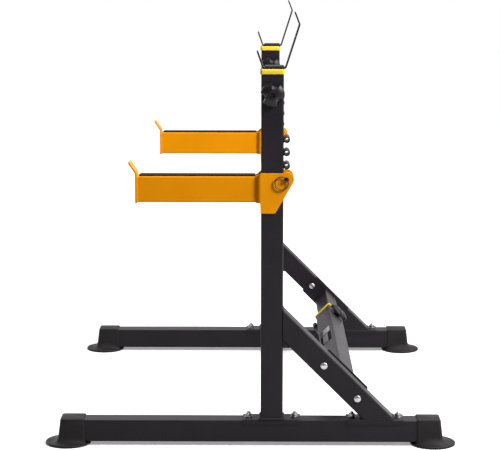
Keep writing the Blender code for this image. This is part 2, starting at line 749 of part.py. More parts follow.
def knob_shape(stud_length):
    """Moulded knob with its stud, drawn with its seat at z = 0 and its crown at +Z."""
    edge_scale = 1 - KNOB_EDGE / KNOB_RADIUS
    seat_radius = KNOB_BOSS_RADIUS
    count = len(knob_outline(1))
    rings = [
        flat_ring(seat_circle(STUD_RADIUS, count), -stud_length),
        flat_ring(seat_circle(STUD_RADIUS, count), 0),
        flat_ring(seat_circle(seat_radius, count), 0),
        flat_ring(knob_outline(edge_scale), KNOB_EDGE),
        flat_ring(knob_outline(1), KNOB_RIM - KNOB_EDGE),
        flat_ring(knob_outline(edge_scale), KNOB_RIM),
        flat_ring(knob_outline(KNOB_SHOULDER), (KNOB_RIM + 2 * KNOB_CROWN) / 3),
        flat_ring(seat_circle(seat_radius, count), KNOB_CROWN),
    ]
    return loft(rings)


def seat_circle(radius, count):
    """Circle whose points lie in the same directions as those of the knob's outline."""
    points = []
    for x, y in knob_outline(1)[:count]:
        way = Vector((x, y)).normalized()
        points.append((way.x * radius, way.y * radius))
    return points


def stud_length():
    """From the knob's seat on its boss down to just short of the sliding tube."""
    return KNOB_BOSS_HEIGHT + (TUBE - SLIDER) / 2


def add_knob(name, parent, materials):
    """Knob with the square recess in its crown, about the given axis."""
    plastic = materials["black_plastic"]
    knob = add_part(name, knob_shape(stud_length()), plastic, parent, smooth=True)
    half = KNOB_RECESS / 2
    square = [(-half, -half), (half, -half), (half, half), (-half, half)]
    cut(knob, prism(square, KNOB_CROWN - KNOB_RECESS_DEPTH, KNOB_CROWN + CUT_OVERSHOOT), knob)


def bracket_side_outline():
    """Side of the arm bracket: a round ear on the pin, a slanting rear edge and a level foot.

    Its front is stepped: the web ends just below the arm, and the two sides reach further down.
    """
    front = WEB_OUTER_X - CUT_OVERSHOOT
    top = PIN_HEIGHT + BRACKET_RISE
    shoulder = (WEB_OUTER_X + BRACKET_CHAMFER_BACK, top)
    brow = (WEB_OUTER_X, top - BRACKET_CHAMFER_DROP)
    ear_start = BRACKET_SLOPE - math.pi / 2
    ear_end = math.pi - math.asin(BRACKET_RISE / BRACKET_EAR)
    ear = arc((PIN_X, PIN_HEIGHT), BRACKET_EAR, ear_start, ear_end, EAR_STEPS)
    tangent = ear[0]
    corner_x = tangent[0] - (tangent[1] - BRACKET_BOTTOM) / math.tan(BRACKET_SLOPE)
    setback = BRACKET_CORNER * math.tan(BRACKET_SLOPE / 2)
    centre = (corner_x - setback, BRACKET_BOTTOM + BRACKET_CORNER)
    corner = arc(centre, BRACKET_CORNER, -math.pi / 2, ear_start, BEND_STEPS)
    step = [(front, brow[1]), (front, WEB_BOTTOM), (shoulder[0], WEB_BOTTOM)]
    return [(shoulder[0], BRACKET_BOTTOM), *corner, *ear, shoulder, brow, *step]


def add_arm_bracket(side, frame, materials):
    """U bent round the upright from plate, then trimmed to its side outline and drilled for the pin."""
    half = BRACKET_INNER + BRACKET_PLATE / 2
    web = WEB_OUTER_X + BRACKET_PLATE / 2
    rear = PIN_X + BRACKET_EAR + CUT_OVERSHOOT
    folds = [(rear, -half), (web, -half), (web, half), (rear, half)]
    plan = strip_outline(folds, BRACKET_PLATE, BRACKET_BEND)
    shape = prism(plan, BRACKET_BOTTOM - CUT_OVERSHOOT, PIN_HEIGHT + BRACKET_EAR + CUT_OVERSHOOT)
    bracket = add_part(f"{side}_arm_bracket", shape, materials["orange_powder_coat"], frame)
    wide = 2 * BRACKET_OUTER + CUT_OVERSHOOT
    combine(bracket, "INTERSECT", strip_across(bracket_side_outline(), wide), frame)
    reach = BRACKET_OUTER + CUT_OVERSHOOT
    hole = round_cylinders([(PIN_X, PIN_HEIGHT)], SLEEVE_BORE_RADIUS, -reach, reach, SLEEVE_SIDES)
    cut(bracket, hole, frame, rotation=(math.pi / 2, 0, 0))
    add_arm_liner(side, frame, materials)


def add_arm_liner(side, frame, materials):
    """Rubber pad on the bracket's web, which presses on the front of the upright."""
    half = LINER_WIDTH / 2
    pad = cushion((-LINER_HEIGHT, -half), (0, half), LINER_THICKNESS)
    place = (WEB_INNER_X + GAP, 0, WEB_BOTTOM + LINER_UP)
    add_part(f"{side}_arm_liner", pad, materials["black_rubber"], frame, place, (0, math.pi / 2, 0))


def add_arm(side, frame, materials):
    """Rectangular tube of the spotter arm with its rubber pad."""
    half = (ARM_HEIGHT / 2, ARM_WIDTH / 2)
    corners = [ARM_CORNER] * 4
    inner_corners = [ARM_CORNER - ARM_WALL] * 4
    inner = (half[0] - ARM_WALL, half[1] - ARM_WALL)
    outer_ring = rounded_box((-half[0], -half[1]), half, corners, CORNER_STEPS)
    inner_ring = rounded_box((-inner[0], -inner[1]), inner, inner_corners, CORNER_STEPS)
    rings = [
        flat_ring(outer_ring, 0),
        flat_ring(outer_ring, ARM_LENGTH),
        flat_ring(inner_ring, ARM_LENGTH),
        flat_ring(inner_ring, 0),
    ]
    place = (ARM_FRONT_X, 0, ARM_TOP - ARM_HEIGHT / 2)
    orange = materials["orange_powder_coat"]
    add_part(f"{side}_arm_tube", loft(rings, loop=True), orange, frame, place, (0, math.pi / 2, 0))
    low = (ARM_FRONT_X + ARM_PAD_FRONT, -ARM_PAD_WIDTH / 2)
    high = (ARM_REAR_X - ARM_PAD_REAR, ARM_PAD_WIDTH / 2)
    pad = cushion(low, high, ARM_PAD_THICKNESS)
    add_part(f"{side}_arm_pad", pad, materials["black_rubber"], frame, (0, 0, ARM_TOP + GAP))


def add_arm_stop(side, frame, materials):
    """Plate that closes the arm's front end, with a lip bent forward to keep a bar on the arm."""
    x = ARM_FRONT_X - GAP - STOP_PLATE / 2
    bend_z = ARM_TOP + STOP_RISE
    lip = (x - STOP_LIP * math.sin(STOP_LIP_LEAN), bend_z + STOP_LIP * math.cos(STOP_LIP_LEAN))
    path = [(x, ARM_TOP - ARM_HEIGHT - STOP_DROP), (x, bend_z), lip]
    shape = strip_across(strip_outline(path, STOP_PLATE, STOP_BEND), STOP_WIDTH)
    add_part(f"{side}_arm_end_stop", shape, materials["orange_powder_coat"], frame)


def ring_hole_depth():
    """How far the cross hole lies outside the bracket's side plate."""
    return GAP + PIN_HEAD_LENGTH / 2


def add_arm_pin(side, pin_body, materials):
    """Pin through both ears and a sleeve, drawn along Z, its head cross drilled for the ring."""
    seat = BRACKET_OUTER + GAP
    tip = BRACKET_OUTER + PIN_TIP
    head_edge = PIN_TIP_CHAMFER / 2
    rings = [
        flat_ring(circle(PIN_RADIUS - PIN_TIP_CHAMFER, SLEEVE_SIDES), -tip),
        flat_ring(circle(PIN_RADIUS, SLEEVE_SIDES), PIN_TIP_CHAMFER - tip),
        flat_ring(circle(PIN_RADIUS, SLEEVE_SIDES), seat),
        flat_ring(circle(PIN_HEAD_RADIUS, SLEEVE_SIDES), seat),
        flat_ring(circle(PIN_HEAD_RADIUS, SLEEVE_SIDES), seat + PIN_HEAD_LENGTH - head_edge),
        flat_ring(circle(PIN_HEAD_RADIUS - head_edge, SLEEVE_SIDES), seat + PIN_HEAD_LENGTH),
    ]
    along_y = (math.pi / 2, 0, 0)
    name = f"{side}_arm_pin"
    pin = add_part(name, loft(rings), materials["dark_steel"], pin_body, rotation=along_y, smooth=True)
    reach = PIN_HEAD_RADIUS + CUT_OVERSHOOT
    cross_hole = round_cylinders([(0, 0)], RING_HOLE_RADIUS, -reach, reach, BOLT_SIDES)
    hole_place = (0, -BRACKET_OUTER - ring_hole_depth(), 0)
    cut(pin, cross_hole, pin_body, hole_place, (0, -RING_ANGLE, 0))


def add_pin_ring(side, ring_body, materials):
    """Split ring lying flat beside the bracket, hung from the pin's cross hole at its own origin."""
    centre = Vector((math.cos(RING_ANGLE), 0, math.sin(RING_ANGLE))) * (RING_RADIUS - RING_SAG)
    rings = []
    for step in range(RING_STEPS):
        turn = 2 * math.pi * step / RING_STEPS
        outward = Vector((math.cos(turn), 0, math.sin(turn)))
        section = []
        for away, along in circle(RING_WIRE, RING_SIDES):
            section.append(tuple(centre + outward * (RING_RADIUS + away) + Vector((0, along, 0))))
        rings.append(section)
    zinc = materials["zinc_steel"]
    add_part(f"{side}_pin_ring", loft(rings, loop=True), zinc, ring_body, smooth=True)


def add_mount_plate(name, crossbar, near_y, materials):
    """Plate welded to the crossbar's end and bolted to the side of a brace."""
    half_x = MOUNT_PLATE_WIDTH / 2
    half_z = MOUNT_PLATE_LENGTH / 2
    corners = [MOUNT_PLATE_CORNER] * 4
    outline = rounded_box((-half_x, -half_z), (half_x, half_z), corners, CORNER_STEPS)
    shape = strip_across(outline, MOUNT_PLATE)
    middle_y = near_y + MOUNT_PLATE / 2
    plate = add_part(name, shape, materials["black_powder_coat"], crossbar, (0, middle_y, 0))
    offset = MOUNT_BOLT_SPACING / 2
    places = [(0, -offset), (0, offset)]
    holes = round_cylinders(places, BOLT_HOLE_RADIUS, -CUT_OVERSHOOT, CUT_OVERSHOOT, HOLE_SIDES)
    cut(plate, holes, crossbar, (0, middle_y, 0), (math.pi / 2, 0, 0))


def add_mount_bolts(side, frame, brace_first, materials):
    """Two bolts through a brace and its crossbar plate, with their domed heads towards the right."""
    stack = TUBE + GAP + MOUNT_PLATE
    head_y = -TUBE / 2 if brace_first else -TUBE / 2 - GAP - MOUNT_PLATE
    for level, place in zip(("upper", "lower"), mount_bolt_places()):
        name = f"{side}_crossbar_bolt_{level}"
        location = (place.x, head_y, place.z)
        turned = (-math.pi / 2, 0, 0)
        add_part(name, bolt_shape(stack), materials["zinc_steel"], frame, location, turned, smooth=True)


def add_crossbar_outer(crossbar, materials):
    """Outer half of the crossbar with its plate, its collar and the bosses of both knobs."""
    plate_y = -FRAME_HALF_SPACING + TUBE / 2 + GAP
    add_mount_plate("crossbar_outer_plate", crossbar, plate_y, materials)
    start_y = plate_y + MOUNT_PLATE + GAP
    end_y = start_y + CROSSBAR_OUTER_LENGTH
    toward_y = (-math.pi / 2, 0, 0)
    shape = square_tube(TUBE, TUBE_WALL, TUBE_CORNER, CROSSBAR_OUTER_LENGTH)
    black = materials["black_powder_coat"]
    tube = add_part("crossbar_outer_tube", shape, black, crossbar, (0, start_y, 0), toward_y)
    collar_place = (0, end_y + GAP, 0)
    yellow = materials["yellow_plastic"]
    add_part("crossbar_collar", collar_shape(), yellow, crossbar, collar_place, toward_y)
    knobs = [
        ("crossbar_upper_knob", -1, end_y - UPPER_KNOB_FROM_END),
        ("crossbar_lower_knob", 1, end_y - LOWER_KNOB_FROM_END),
    ]
    low = TUBE / 2 - SEAT_OVERLAP
    high = TUBE / 2 + KNOB_BOSS_HEIGHT
    for name, face, y in knobs:
        outward = (0, face * math.pi / 2, 0)
        boss = round_cylinders([(0, 0)], KNOB_BOSS_RADIUS, low, high, SLEEVE_SIDES)
        join(tube, boss, crossbar, (0, y, 0), outward)
        hole = round_cylinders([(0, 0)], STUD_HOLE_RADIUS, SLIDER / 2, high + CUT_OVERSHOOT, HOLE_SIDES)
        cut(tube, hole, crossbar, (0, y, 0), outward)
        axis = add_empty(f"{name}_axis", crossbar, (face * (high + GAP), y, 0), outward)
        add_knob(name, axis, materials)


def add_crossbar_inner(crossbar, materials):
    """Inner half of the crossbar, which slides in the outer half and carries the left side frame."""
    plate_y = FRAME_HALF_SPACING - TUBE / 2 - GAP - MOUNT_PLATE
    add_mount_plate("crossbar_inner_plate", crossbar, plate_y, materials)
    start_y = plate_y - GAP - CROSSBAR_INNER_LENGTH
    shape = square_tube(SLIDER, SLIDER_WALL, SLIDER_CORNER, CROSSBAR_INNER_LENGTH)
    black = materials["black_powder_coat"]
    add_part("crossbar_inner_tube", shape, black, crossbar, (0, start_y, 0), (-math.pi / 2, 0, 0))


def add_side_frame(side, frame, materials):
    """Everything of one side frame, with an empty on the axis of each piece that moves."""
    add_base_tube(side, frame, materials)
    for end in ("front", "rear"):
        add_foot(side, end, frame, materials)
    add_saddle(side, "upright_saddle", UPRIGHT_X, frame, materials)
    add_saddle(side, "brace_saddle", BRACE_SADDLE_X, frame, materials)
    add_saddle_bolts(side, frame, materials)
    add_upright(side, frame, materials)
    add_brace(side, frame, materials)
    add_gusset(side, frame, materials)
    collar_place = (UPRIGHT_X, 0, UPRIGHT_TOP + GAP)
    add_part(f"{side}_upright_collar", collar_shape(), materials["yellow_plastic"], frame, collar_place)
    post_body = add_empty(f"{side}_post_axis", frame, (UPRIGHT_X, 0, POST_TOP))
    add_post(side, post_body, materials)
    add_cradle(side, post_body, materials)
    knob_place = (UPRIGHT_X, -TUBE / 2 - KNOB_BOSS_HEIGHT - GAP, POST_KNOB_HEIGHT)
    knob_axis = add_empty(f"{side}_post_knob_axis", frame, knob_place, (math.pi / 2, 0, 0))
    add_knob(f"{side}_post_knob", knob_axis, materials)
    add_arm_bracket(side, frame, materials)
    add_arm(side, frame, materials)
    add_arm_stop(side, frame, materials)
    pin_body = add_empty(f"{side}_pin_axis", frame, (PIN_X, 0, PIN_HEIGHT))
    add_arm_pin(side, pin_body, materials)
    ring_place = (0, -BRACKET_OUTER - ring_hole_depth(), 0)
    ring_body = add_empty(f"{side}_ring_axis", pin_body, ring_place)
    add_pin_ring(side, ring_body, materials)


def main():
    clear_scene()
    materials = make_materials()
    for side, y in SIDES.items():
        frame = add_empty(f"{side}_frame", location=(0, y, 0))
        add_side_frame(side, frame, materials)
        add_mount_bolts(side, frame, side == "right", materials)
    # The crossbar's own Z runs along the braces and its own X square to them.
    turned = (0, math.pi / 2 + BRACE_SLOPE, 0)
    crossbar = add_empty("crossbar_axis", location=crossbar_centre(), rotation=turned)
    add_crossbar_outer(crossbar, materials)
    add_crossbar_inner(crossbar, materials)


main()
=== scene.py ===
"""Looks of an adjustable squat rack with spotter arms, dressed over its CAD frame.

X runs from the front, where the arms point, to the rear, Y across the rack and Z up from the floor.
All sizes are in metres. Shapes are grids of points worked out with numpy and placed by a small frame.
"""

import math

import bmesh
import bpy
import numpy as np
from mathutils import Matrix, Vector


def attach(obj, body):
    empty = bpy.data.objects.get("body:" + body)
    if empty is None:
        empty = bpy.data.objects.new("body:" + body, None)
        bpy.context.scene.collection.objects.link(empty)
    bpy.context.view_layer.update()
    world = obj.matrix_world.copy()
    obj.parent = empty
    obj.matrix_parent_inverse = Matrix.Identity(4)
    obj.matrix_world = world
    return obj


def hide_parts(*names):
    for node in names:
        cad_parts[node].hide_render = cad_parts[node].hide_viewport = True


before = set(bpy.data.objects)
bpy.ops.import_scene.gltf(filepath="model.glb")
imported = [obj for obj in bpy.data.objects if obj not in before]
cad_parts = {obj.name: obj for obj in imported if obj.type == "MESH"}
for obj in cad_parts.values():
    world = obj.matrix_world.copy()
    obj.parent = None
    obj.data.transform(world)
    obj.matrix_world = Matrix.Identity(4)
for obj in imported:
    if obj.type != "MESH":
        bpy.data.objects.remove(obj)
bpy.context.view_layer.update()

# Sizes that the CAD part was drawn with
GAP = 0.0003
TUBE = 0.060
TUBE_WALL = 0.002
TUBE_CORNER = 0.0045
SLIDER = 0.050
SLIDER_WALL = 0.002
SLIDER_CORNER = 0.004
HALF_SPACING = 0.560
BASE_LENGTH = 1.028
BASE_CLEARANCE = 0.011
UPRIGHT_X = 0.0575
UPRIGHT_TOP = 1.009
SADDLE_LENGTH = 0.156
SADDLE_PLATE = 0.003
SADDLE_LIP = 0.013
SADDLE_BEND = 0.004
SADDLE_CORNER = 0.0015
SADDLE_BOLT_SPACING = 0.126
BRACE_SADDLE_X = 0.339
BRACE_FOOT_X = 0.3479
PIN_X = 0.0955
PIN_HEIGHT = 0.7313
PIN_RADIUS = 0.005
PIN_HOLE_RADIUS = 0.0054
SLEEVE_RADIUS = 0.0088
SLEEVE_LENGTH = 0.060
SLEEVE_PITCH = 0.035
SLEEVE_COUNT = 4
POST_LENGTH = 0.720
POST_KNOB_HEIGHT = 0.9565
POST_HOLE_RADIUS = 0.00625
POST_HOLE_PITCH = 0.050
POST_HOLE_COUNT = 11
COLLAR_SIDE = 0.0654
COLLAR_CORNER = 0.007
COLLAR_HEIGHT = 0.012
COLLAR_LIP = 0.0012
COLLAR_DEPTH = 0.040
CRADLE_PLATE = 0.004
CRADLE_WIDTH = 0.050
CRADLE_BEND = 0.005
CRADLE_CORNER = 0.006
CRADLE_FRONT_X = -0.025
CRADLE_REAR_X = 0.0345
CRADLE_FRONT_TIP = (-0.0405, 0.042)
CRADLE_KNEE = (0.071, 0.112)
CRADLE_REAR_TIP = (0.0585, 0.144)
CRADLE_PAD = (0.050, 0.046, 0.004)
KNOB_BOSS_HEIGHT = 0.003
BRACKET_PLATE = 0.005
BRACKET_OUTER = 0.036
BRACKET_RISE = 0.0164
BRACKET_DROP = 0.0916
LINER = (0.046, 0.044, 0.0057)
LINER_RISE = 0.005
ARM_WIDTH = 0.050
ARM_HEIGHT = 0.070
ARM_WALL = 0.0025
ARM_CORNER = 0.004
ARM_LENGTH = 0.318
ARM_RISE = 0.0069
ARM_PAD_WIDTH = 0.044
ARM_PAD_THICKNESS = 0.003
ARM_PAD_FRONT = 0.006
ARM_PAD_REAR = 0.004
WELD_LAND = 0.001
STOP_PLATE = 0.005
STOP_WIDTH = 0.056
STOP_CORNER = 0.003
STOP_BEND = 0.006
STOP_BEND_RISE = 0.008
STOP_DROP = 0.003
STOP_LIP = 0.034
STOP_LEAN = math.radians(34)
CROSSBAR_UP_BRACE = 0.1468
CROSSBAR_OUTER_LENGTH = 0.770
CROSSBAR_INNER_LENGTH = 0.620
UPPER_KNOB_BACK = 0.060
LOWER_KNOB_BACK = 0.070
MOUNT_PLATE = 0.004
MOUNT_BOLT_SPACING = 0.129

# Sections of the bars: both sides, the corner's radius and the wall
TUBE_SECTION = (TUBE, TUBE, TUBE_CORNER, TUBE_WALL)
SLIDER_SECTION = (SLIDER, SLIDER, SLIDER_CORNER, SLIDER_WALL)
ARM_SECTION = (ARM_HEIGHT, ARM_WIDTH, ARM_CORNER, ARM_WALL)

# Places that follow from them
BASE_TOP = BASE_CLEARANCE + TUBE
BASE_MIDDLE = BASE_CLEARANCE + TUBE / 2
SADDLE_TOP = BASE_TOP + GAP + SADDLE_PLATE
UPRIGHT_FOOT = SADDLE_TOP + GAP
UPRIGHT_REAR_X = UPRIGHT_X + TUBE / 2
BRACE_TOP_HEIGHT = UPRIGHT_FOOT + BRACE_FOOT_X - UPRIGHT_REAR_X
POST_TOP = UPRIGHT_TOP + GAP + COLLAR_HEIGHT + COLLAR_LIP
WEB_INNER_X = UPRIGHT_X - TUBE / 2 - 2 * GAP - LINER[2]
WEB_OUTER_X = WEB_INNER_X - BRACKET_PLATE
BRACKET_BOTTOM = PIN_HEIGHT - BRACKET_DROP
ARM_TOP = PIN_HEIGHT + ARM_RISE
ARM_REAR_X = WEB_OUTER_X - GAP
ARM_FRONT_X = ARM_REAR_X - ARM_LENGTH
WEB_BOTTOM = ARM_TOP - ARM_HEIGHT - WELD_LAND
DIAGONAL = math.sqrt(0.5)
CROSSBAR_X = BRACE_FOOT_X - CROSSBAR_UP_BRACE * DIAGONAL
CROSSBAR_Z = UPRIGHT_FOOT + CROSSBAR_UP_BRACE * DIAGONAL
OUTER_START = -HALF_SPACING + TUBE / 2 + GAP + MOUNT_PLATE + GAP
OUTER_END = OUTER_START + CROSSBAR_OUTER_LENGTH
INNER_END = HALF_SPACING - TUBE / 2 - GAP - MOUNT_PLATE - GAP
SIDES = {"right": -HALF_SPACING, "left": HALF_SPACING}

# Directions, and pairs of them for the local X and Z of a shape
UP = (0, 0, 1)
REAR = (1, 0, 0)
LEFT = (0, 1, 0)
ACROSS_BRACE = (-DIAGONAL, 0, -DIAGONAL)
ALONG_BRACE = (DIAGONAL, 0, -DIAGONAL)
UPWARD = (REAR, UP)
REARWARD = ((0, 0, -1), REAR)
LEFTWARD = (REAR, LEFT)
RIGHTWARD = (REAR, (0, -1, 0))
ALONG_CROSSBAR = (ACROSS_BRACE, LEFT)

# Fineness of the surfaces
EASE = 0.0005
EDGE = 0.0005
FOLD_EDGE = 0.0006
CORNER_STEPS = 6
BEND_STEPS = 10
ROUND_SIDES = 48

# Degrees above which an edge stays sharp
SHARP = 32
FOOT_SHARP = 38
SMALL_ROUND_SHARP = 40
KNOB_SHARP = 42
WELD_SHARP = 60
LABEL_SHARP = 60

# Radii of the weld beads
UPRIGHT_WELD = 0.0042
SLEEVE_WELD = 0.0011
BRACE_WELD = 0.0019
POST_WELD = 0.0009
ARM_REAR_WELD = 0.0024
ARM_FRONT_WELD = 0.0012
CROSSBAR_WELD = 0.0022

BLACK = "black_powder_coat"
ORANGE = "orange_powder_coat"


# Grids of points


def full_turn(sides):
    """Even angles over a full turn, the last one left out."""
    return np.linspace(0, 2 * math.pi, sides, endpoint=False)


def unit(vectors):
    return vectors / np.linalg.norm(vectors, axis=1)[:, None]


def rounded_rectangle(half_x, half_y, radius, steps=CORNER_STEPS):
    """Outline made of four quarter circles, radius * (cos a, sin a), pushed out to the corners.

    Each quarter is led in and out by a point a hair along its flats, so that the flats shade flat.
    The halves and the radius may be arrays, which then give one outline for each of their values.
    """
    angle = np.linspace(0, math.pi / 2, steps + 1)
    quarter = np.column_stack([np.cos(angle), np.sin(angle)])
    quarter = np.vstack([quarter[:1], quarter, quarter[-1:]])
    lead = np.zeros_like(quarter)
    lead[0, 1] = -EASE
    lead[-1, 0] = -EASE
    turns = [np.array([[c, -s], [s, c]]) for c, s in ((1, 0), (0, 1), (-1, 0), (0, -1))]
    rounds = np.vstack([quarter @ turn.T for turn in turns])
    leads = np.vstack([lead @ turn.T for turn in turns])
    signs = np.repeat([[1, 1], [-1, 1], [-1, -1], [1, -1]], len(quarter), axis=0)
    radius = np.asarray(radius, float)[..., None, None]
    halves = np.stack(np.broadcast_arrays(half_x, half_y), axis=-1)[..., None, :]
    return signs * (halves - radius) + radius * rounds + leads


def stacked(outlines, heights):
    """Rows of (x, y, z) from one outline for each height."""
    outlines = np.asarray(outlines, float)
    z = np.broadcast_to(np.asarray(heights, float)[:, None, None], (*outlines.shape[:2], 1))
    return np.concatenate([outlines, z], axis=2)


def turned(radius, heights, angle):
    """Rows of (r cos a, r sin a, z) from a radius at each height and angle."""
    radius = np.broadcast_to(radius, (len(heights), len(angle)))
    z = np.broadcast_to(np.reshape(heights, (-1, 1)), radius.shape)
    return np.dstack([radius * np.cos(angle), radius * np.sin(angle), z])


def revolved(profile, sides=ROUND_SIDES):
    """Spins a profile of (radius, height) about Z."""
    profile = np.asarray(profile, float)
    return turned(profile[:, :1], profile[:, 1], full_turn(sides))


def tube_rows(section, length, slopes=(0, 0)):
    """Loop of outlines up the outside of a hollow bar, over its end and back down the bore.

    A slope tilts an end: there z also grows by the slope times x, which makes a mitre.
    """
    side_x, side_y, corner, wall = section
    inset = np.array([EDGE, 0, 0, EDGE, wall - EDGE, wall, wall, wall - EDGE])
    z = np.array([0, EDGE, length - EDGE, length, length, length - EDGE, EDGE, 0])
    at_end = np.array([0, 0, 1, 1, 1, 1, 0, 0])
    radius = np.maximum(corner - inset, 0.001)
    rows = stacked(rounded_rectangle(side_x / 2 - inset, side_y / 2 - inset, radius), z)
    rows[..., 2] += np.take(slopes, at_end)[:, None] * rows[..., 0]
    return rows


def ring_path(section, z, out=0):
    """Closed path of points round a bar, for a weld bead."""
    side_x, side_y, corner, _ = section
    outline = rounded_rectangle(side_x / 2 + out, side_y / 2 + out, corner)
    return np.column_stack([outline, np.full(len(outline), z)])


def bent_path(corners, radius, steps=BEND_STEPS):
    """Points and headings along straight runs joined by arcs, centre + radius * turned spoke.

    A point a hair before and after each arc keeps the straight runs flat in shading.
    """
    corners = np.asarray(corners, float)
    ways = unit(np.diff(corners, axis=0))
    places = [corners[:1]]
    headings = [ways[:1]]
    for corner, way_in, way_out in zip(corners[1:], ways, ways[1:]):
        cross = way_in[0] * way_out[1] - way_in[1] * way_out[0]
        turn = math.atan2(cross, way_in @ way_out)
        start = corner - way_in * radius * math.tan(abs(turn) / 2)
        side = math.copysign(1, turn) * np.array([-way_in[1], way_in[0]])
        angle = np.linspace(0, turn, steps + 1)
        c, s = np.cos(angle), np.sin(angle)
        heading = np.column_stack([c * way_in[0] - s * way_in[1], s * way_in[0] + c * way_in[1]])
        spoke = np.column_stack([s * side[1] - c * side[0], -s * side[0] - c * side[1]])
        arc = start + side * radius + spoke * radius
        places += [arc[:1] - EASE * way_in, arc, arc[-1:] + EASE * way_out]
        headings += [heading[:1], heading, heading[-1:]]
    places.append(corners[-1:])
    headings.append(ways[-1:])
    return np.vstack(places), np.vstack(headings)


def spread(places, headings, near_end):
    """Adds points near both ends of a path, at distances near_end * (1 - cos a)."""
    step = near_end * (1 - np.cos(np.linspace(0, math.pi / 2, 8)))[1:, None]
    head = places[0] + step * headings[0]
    tail = places[-1] - step[::-1] * headings[-1]
    places = np.vstack([places[:1], head, places[1:-1], tail, places[-1:]])
    repeats = np.ones(len(headings), int)
    repeats[[0, -1]] += len(step)
    return places, np.repeat(headings, repeats, axis=0)


def swept(places, headings, thickness, half_width, edge):
    """Carries a rounded rectangle of (u, v) along a path, as rows of place + normal * u and of v."""
    section = rounded_rectangle(thickness / 2, half_width, edge, 3)
    normals = np.column_stack([-headings[:, 1], headings[:, 0]])
    flat = places[:, None] + section[..., :1] * normals[:, None]
    return np.concatenate([flat, section[..., 1:]], axis=2)


def strip_rows(corners, bend, thickness, width, end_corner):
    """Flat strip along a bent path, as the path's own two coordinates and the one square to them.

    Within end_corner of each end the width draws in as r - sqrt(r^2 - (r - d)^2) at distance d.
    """
    places, headings = spread(*bent_path(corners, bend), end_corner)
    steps = np.linalg.norm(np.diff(places, axis=0), axis=1)
    travel = np.concatenate([[0], np.cumsum(steps)])
    from_end = np.minimum(travel, travel[-1] - travel)
    short = np.clip(end_corner - from_end, 0, end_corner)
    draw_in = end_corner - np.sqrt(end_corner**2 - short**2)
    draw_in = np.minimum(draw_in, end_corner - EDGE)
    return swept(places, headings, thickness, width / 2 - draw_in, EDGE)


WELD_RIPPLE = 0.0026
WELD_SIDES = 10
WELD_STEPS = 6


def weld_rows(corner_points, axis, radius):
    """Bead round a closed path: its radius swells by 0.88 + 0.16 |sin|, like overlapping drops.

    The sine leads by half a radian on the outer side, which bows each drop.
    """
    points = np.asarray(corner_points, float)
    closed = np.vstack([points, points[:1]])
    steps = np.linalg.norm(np.diff(closed, axis=0), axis=1)
    total = steps.sum()
    marks = np.concatenate([[0], np.cumsum(steps)])
    count = max(24, int(total / WELD_RIPPLE) * WELD_STEPS)
    travel = np.linspace(0, total, count, endpoint=False)
    path = np.column_stack([np.interp(travel, marks, closed[:, i]) for i in range(3)])
    heading = unit(np.roll(path, -1, axis=0) - np.roll(path, 1, axis=0))
    out = unit(np.cross(heading, axis))
    turn = full_turn(WELD_SIDES)
    drop = total / max(1, round(total / WELD_RIPPLE))
    phase = math.pi * travel[:, None] / drop + 0.5 * np.cos(turn)
    swell = radius * (0.88 + 0.16 * np.abs(np.sin(phase)))
    ring = np.cos(turn)[:, None] * out[:, None] + np.sin(turn)[:, None] * np.asarray(axis)
    return path[:, None] + swell[..., None] * ring


# Frames and meshes


def placed(rows, origin, axes):
    """Turns local rows into the rack's frame: origin + x * X + y * (Z cross X) + z * Z."""
    x_axis, z_axis = np.asarray(axes, float)
    basis = np.array([x_axis, np.cross(z_axis, x_axis), z_axis])
    return np.asarray(rows) @ basis + np.asarray(origin, float)


def grid_faces(rows, columns, loop):
    """Quads between neighbours of a grid whose columns close, and whose rows close if it loops."""
    row = np.arange(rows if loop else rows - 1)[:, None]
    column = np.arange(columns)[None, :]
    below, above = row * columns, (row + 1) % rows * columns
    beside = (column + 1) % columns
    quads = [below + column, below + beside, above + beside, above + column]
    return np.stack(quads, axis=-1).reshape(-1, 4)


class Shell:
    """Closed surfaces gathered before they become one mesh."""

    def __init__(self):
        self.points = []
        self.faces = []
        self.count = 0

    def add(self, rows, loop=False):
        """Takes a grid of points. One that doesn't loop is closed by a face over each end."""
        rows = np.asarray(rows, float)
        height, width = rows.shape[:2]
        faces = (grid_faces(height, width, loop) + self.count).tolist()
        if not loop:
            first = np.arange(width) + self.count
            faces += [first[::-1].tolist(), (first + (height - 1) * width).tolist()]
        self.points.append(rows.reshape(-1, 3))
        self.faces += faces
        self.count += height * width
        return self

    def weld(self, path, axis, radius):
        return self.add(weld_rows(path, axis, radius), loop=True)

    def mesh(self, name):
        mesh = bpy.data.meshes.new(name)
        mesh.from_pydata(np.vstack(self.points), [], self.faces)
        work = bmesh.new()
        work.from_mesh(mesh)
        bmesh.ops.remove_doubles(work, verts=work.verts, dist=1e-6)
        bmesh.ops.recalc_face_normals(work, faces=work.faces)
        work.to_mesh(mesh)
        work.free()
        return mesh


def new_object(name, data):
    made = bpy.data.objects.new(name, data)
    bpy.context.scene.collection.objects.link(made)
    return made


def smooth(mesh, sharp):
    mesh.shade_smooth()
    mesh.set_sharp_from_angle(angle=math.radians(sharp))


def add_mesh(name, mesh, finish, body, node=None, sharp=SHARP):
    """Makes a mesh into a piece that rides on a body and may stand for a CAD node."""
    piece = new_object(name, mesh)
    smooth(mesh, sharp)
    mesh.materials.clear()
    mesh.materials.append(FINISHES[finish])
    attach(piece, body)
    if node:
        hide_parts(node)
    return piece


def add_piece(name, shell, finish, body, node=None, sharp=SHARP):
    return add_mesh(name, shell.mesh(name), finish, body, node, sharp)


def dress(node, shell, finish, body, sharp=SHARP):
    """Adds the piece that stands for a CAD node and is named after it."""
    return add_piece(f"{node}_looks", shell, finish, body, node, sharp)


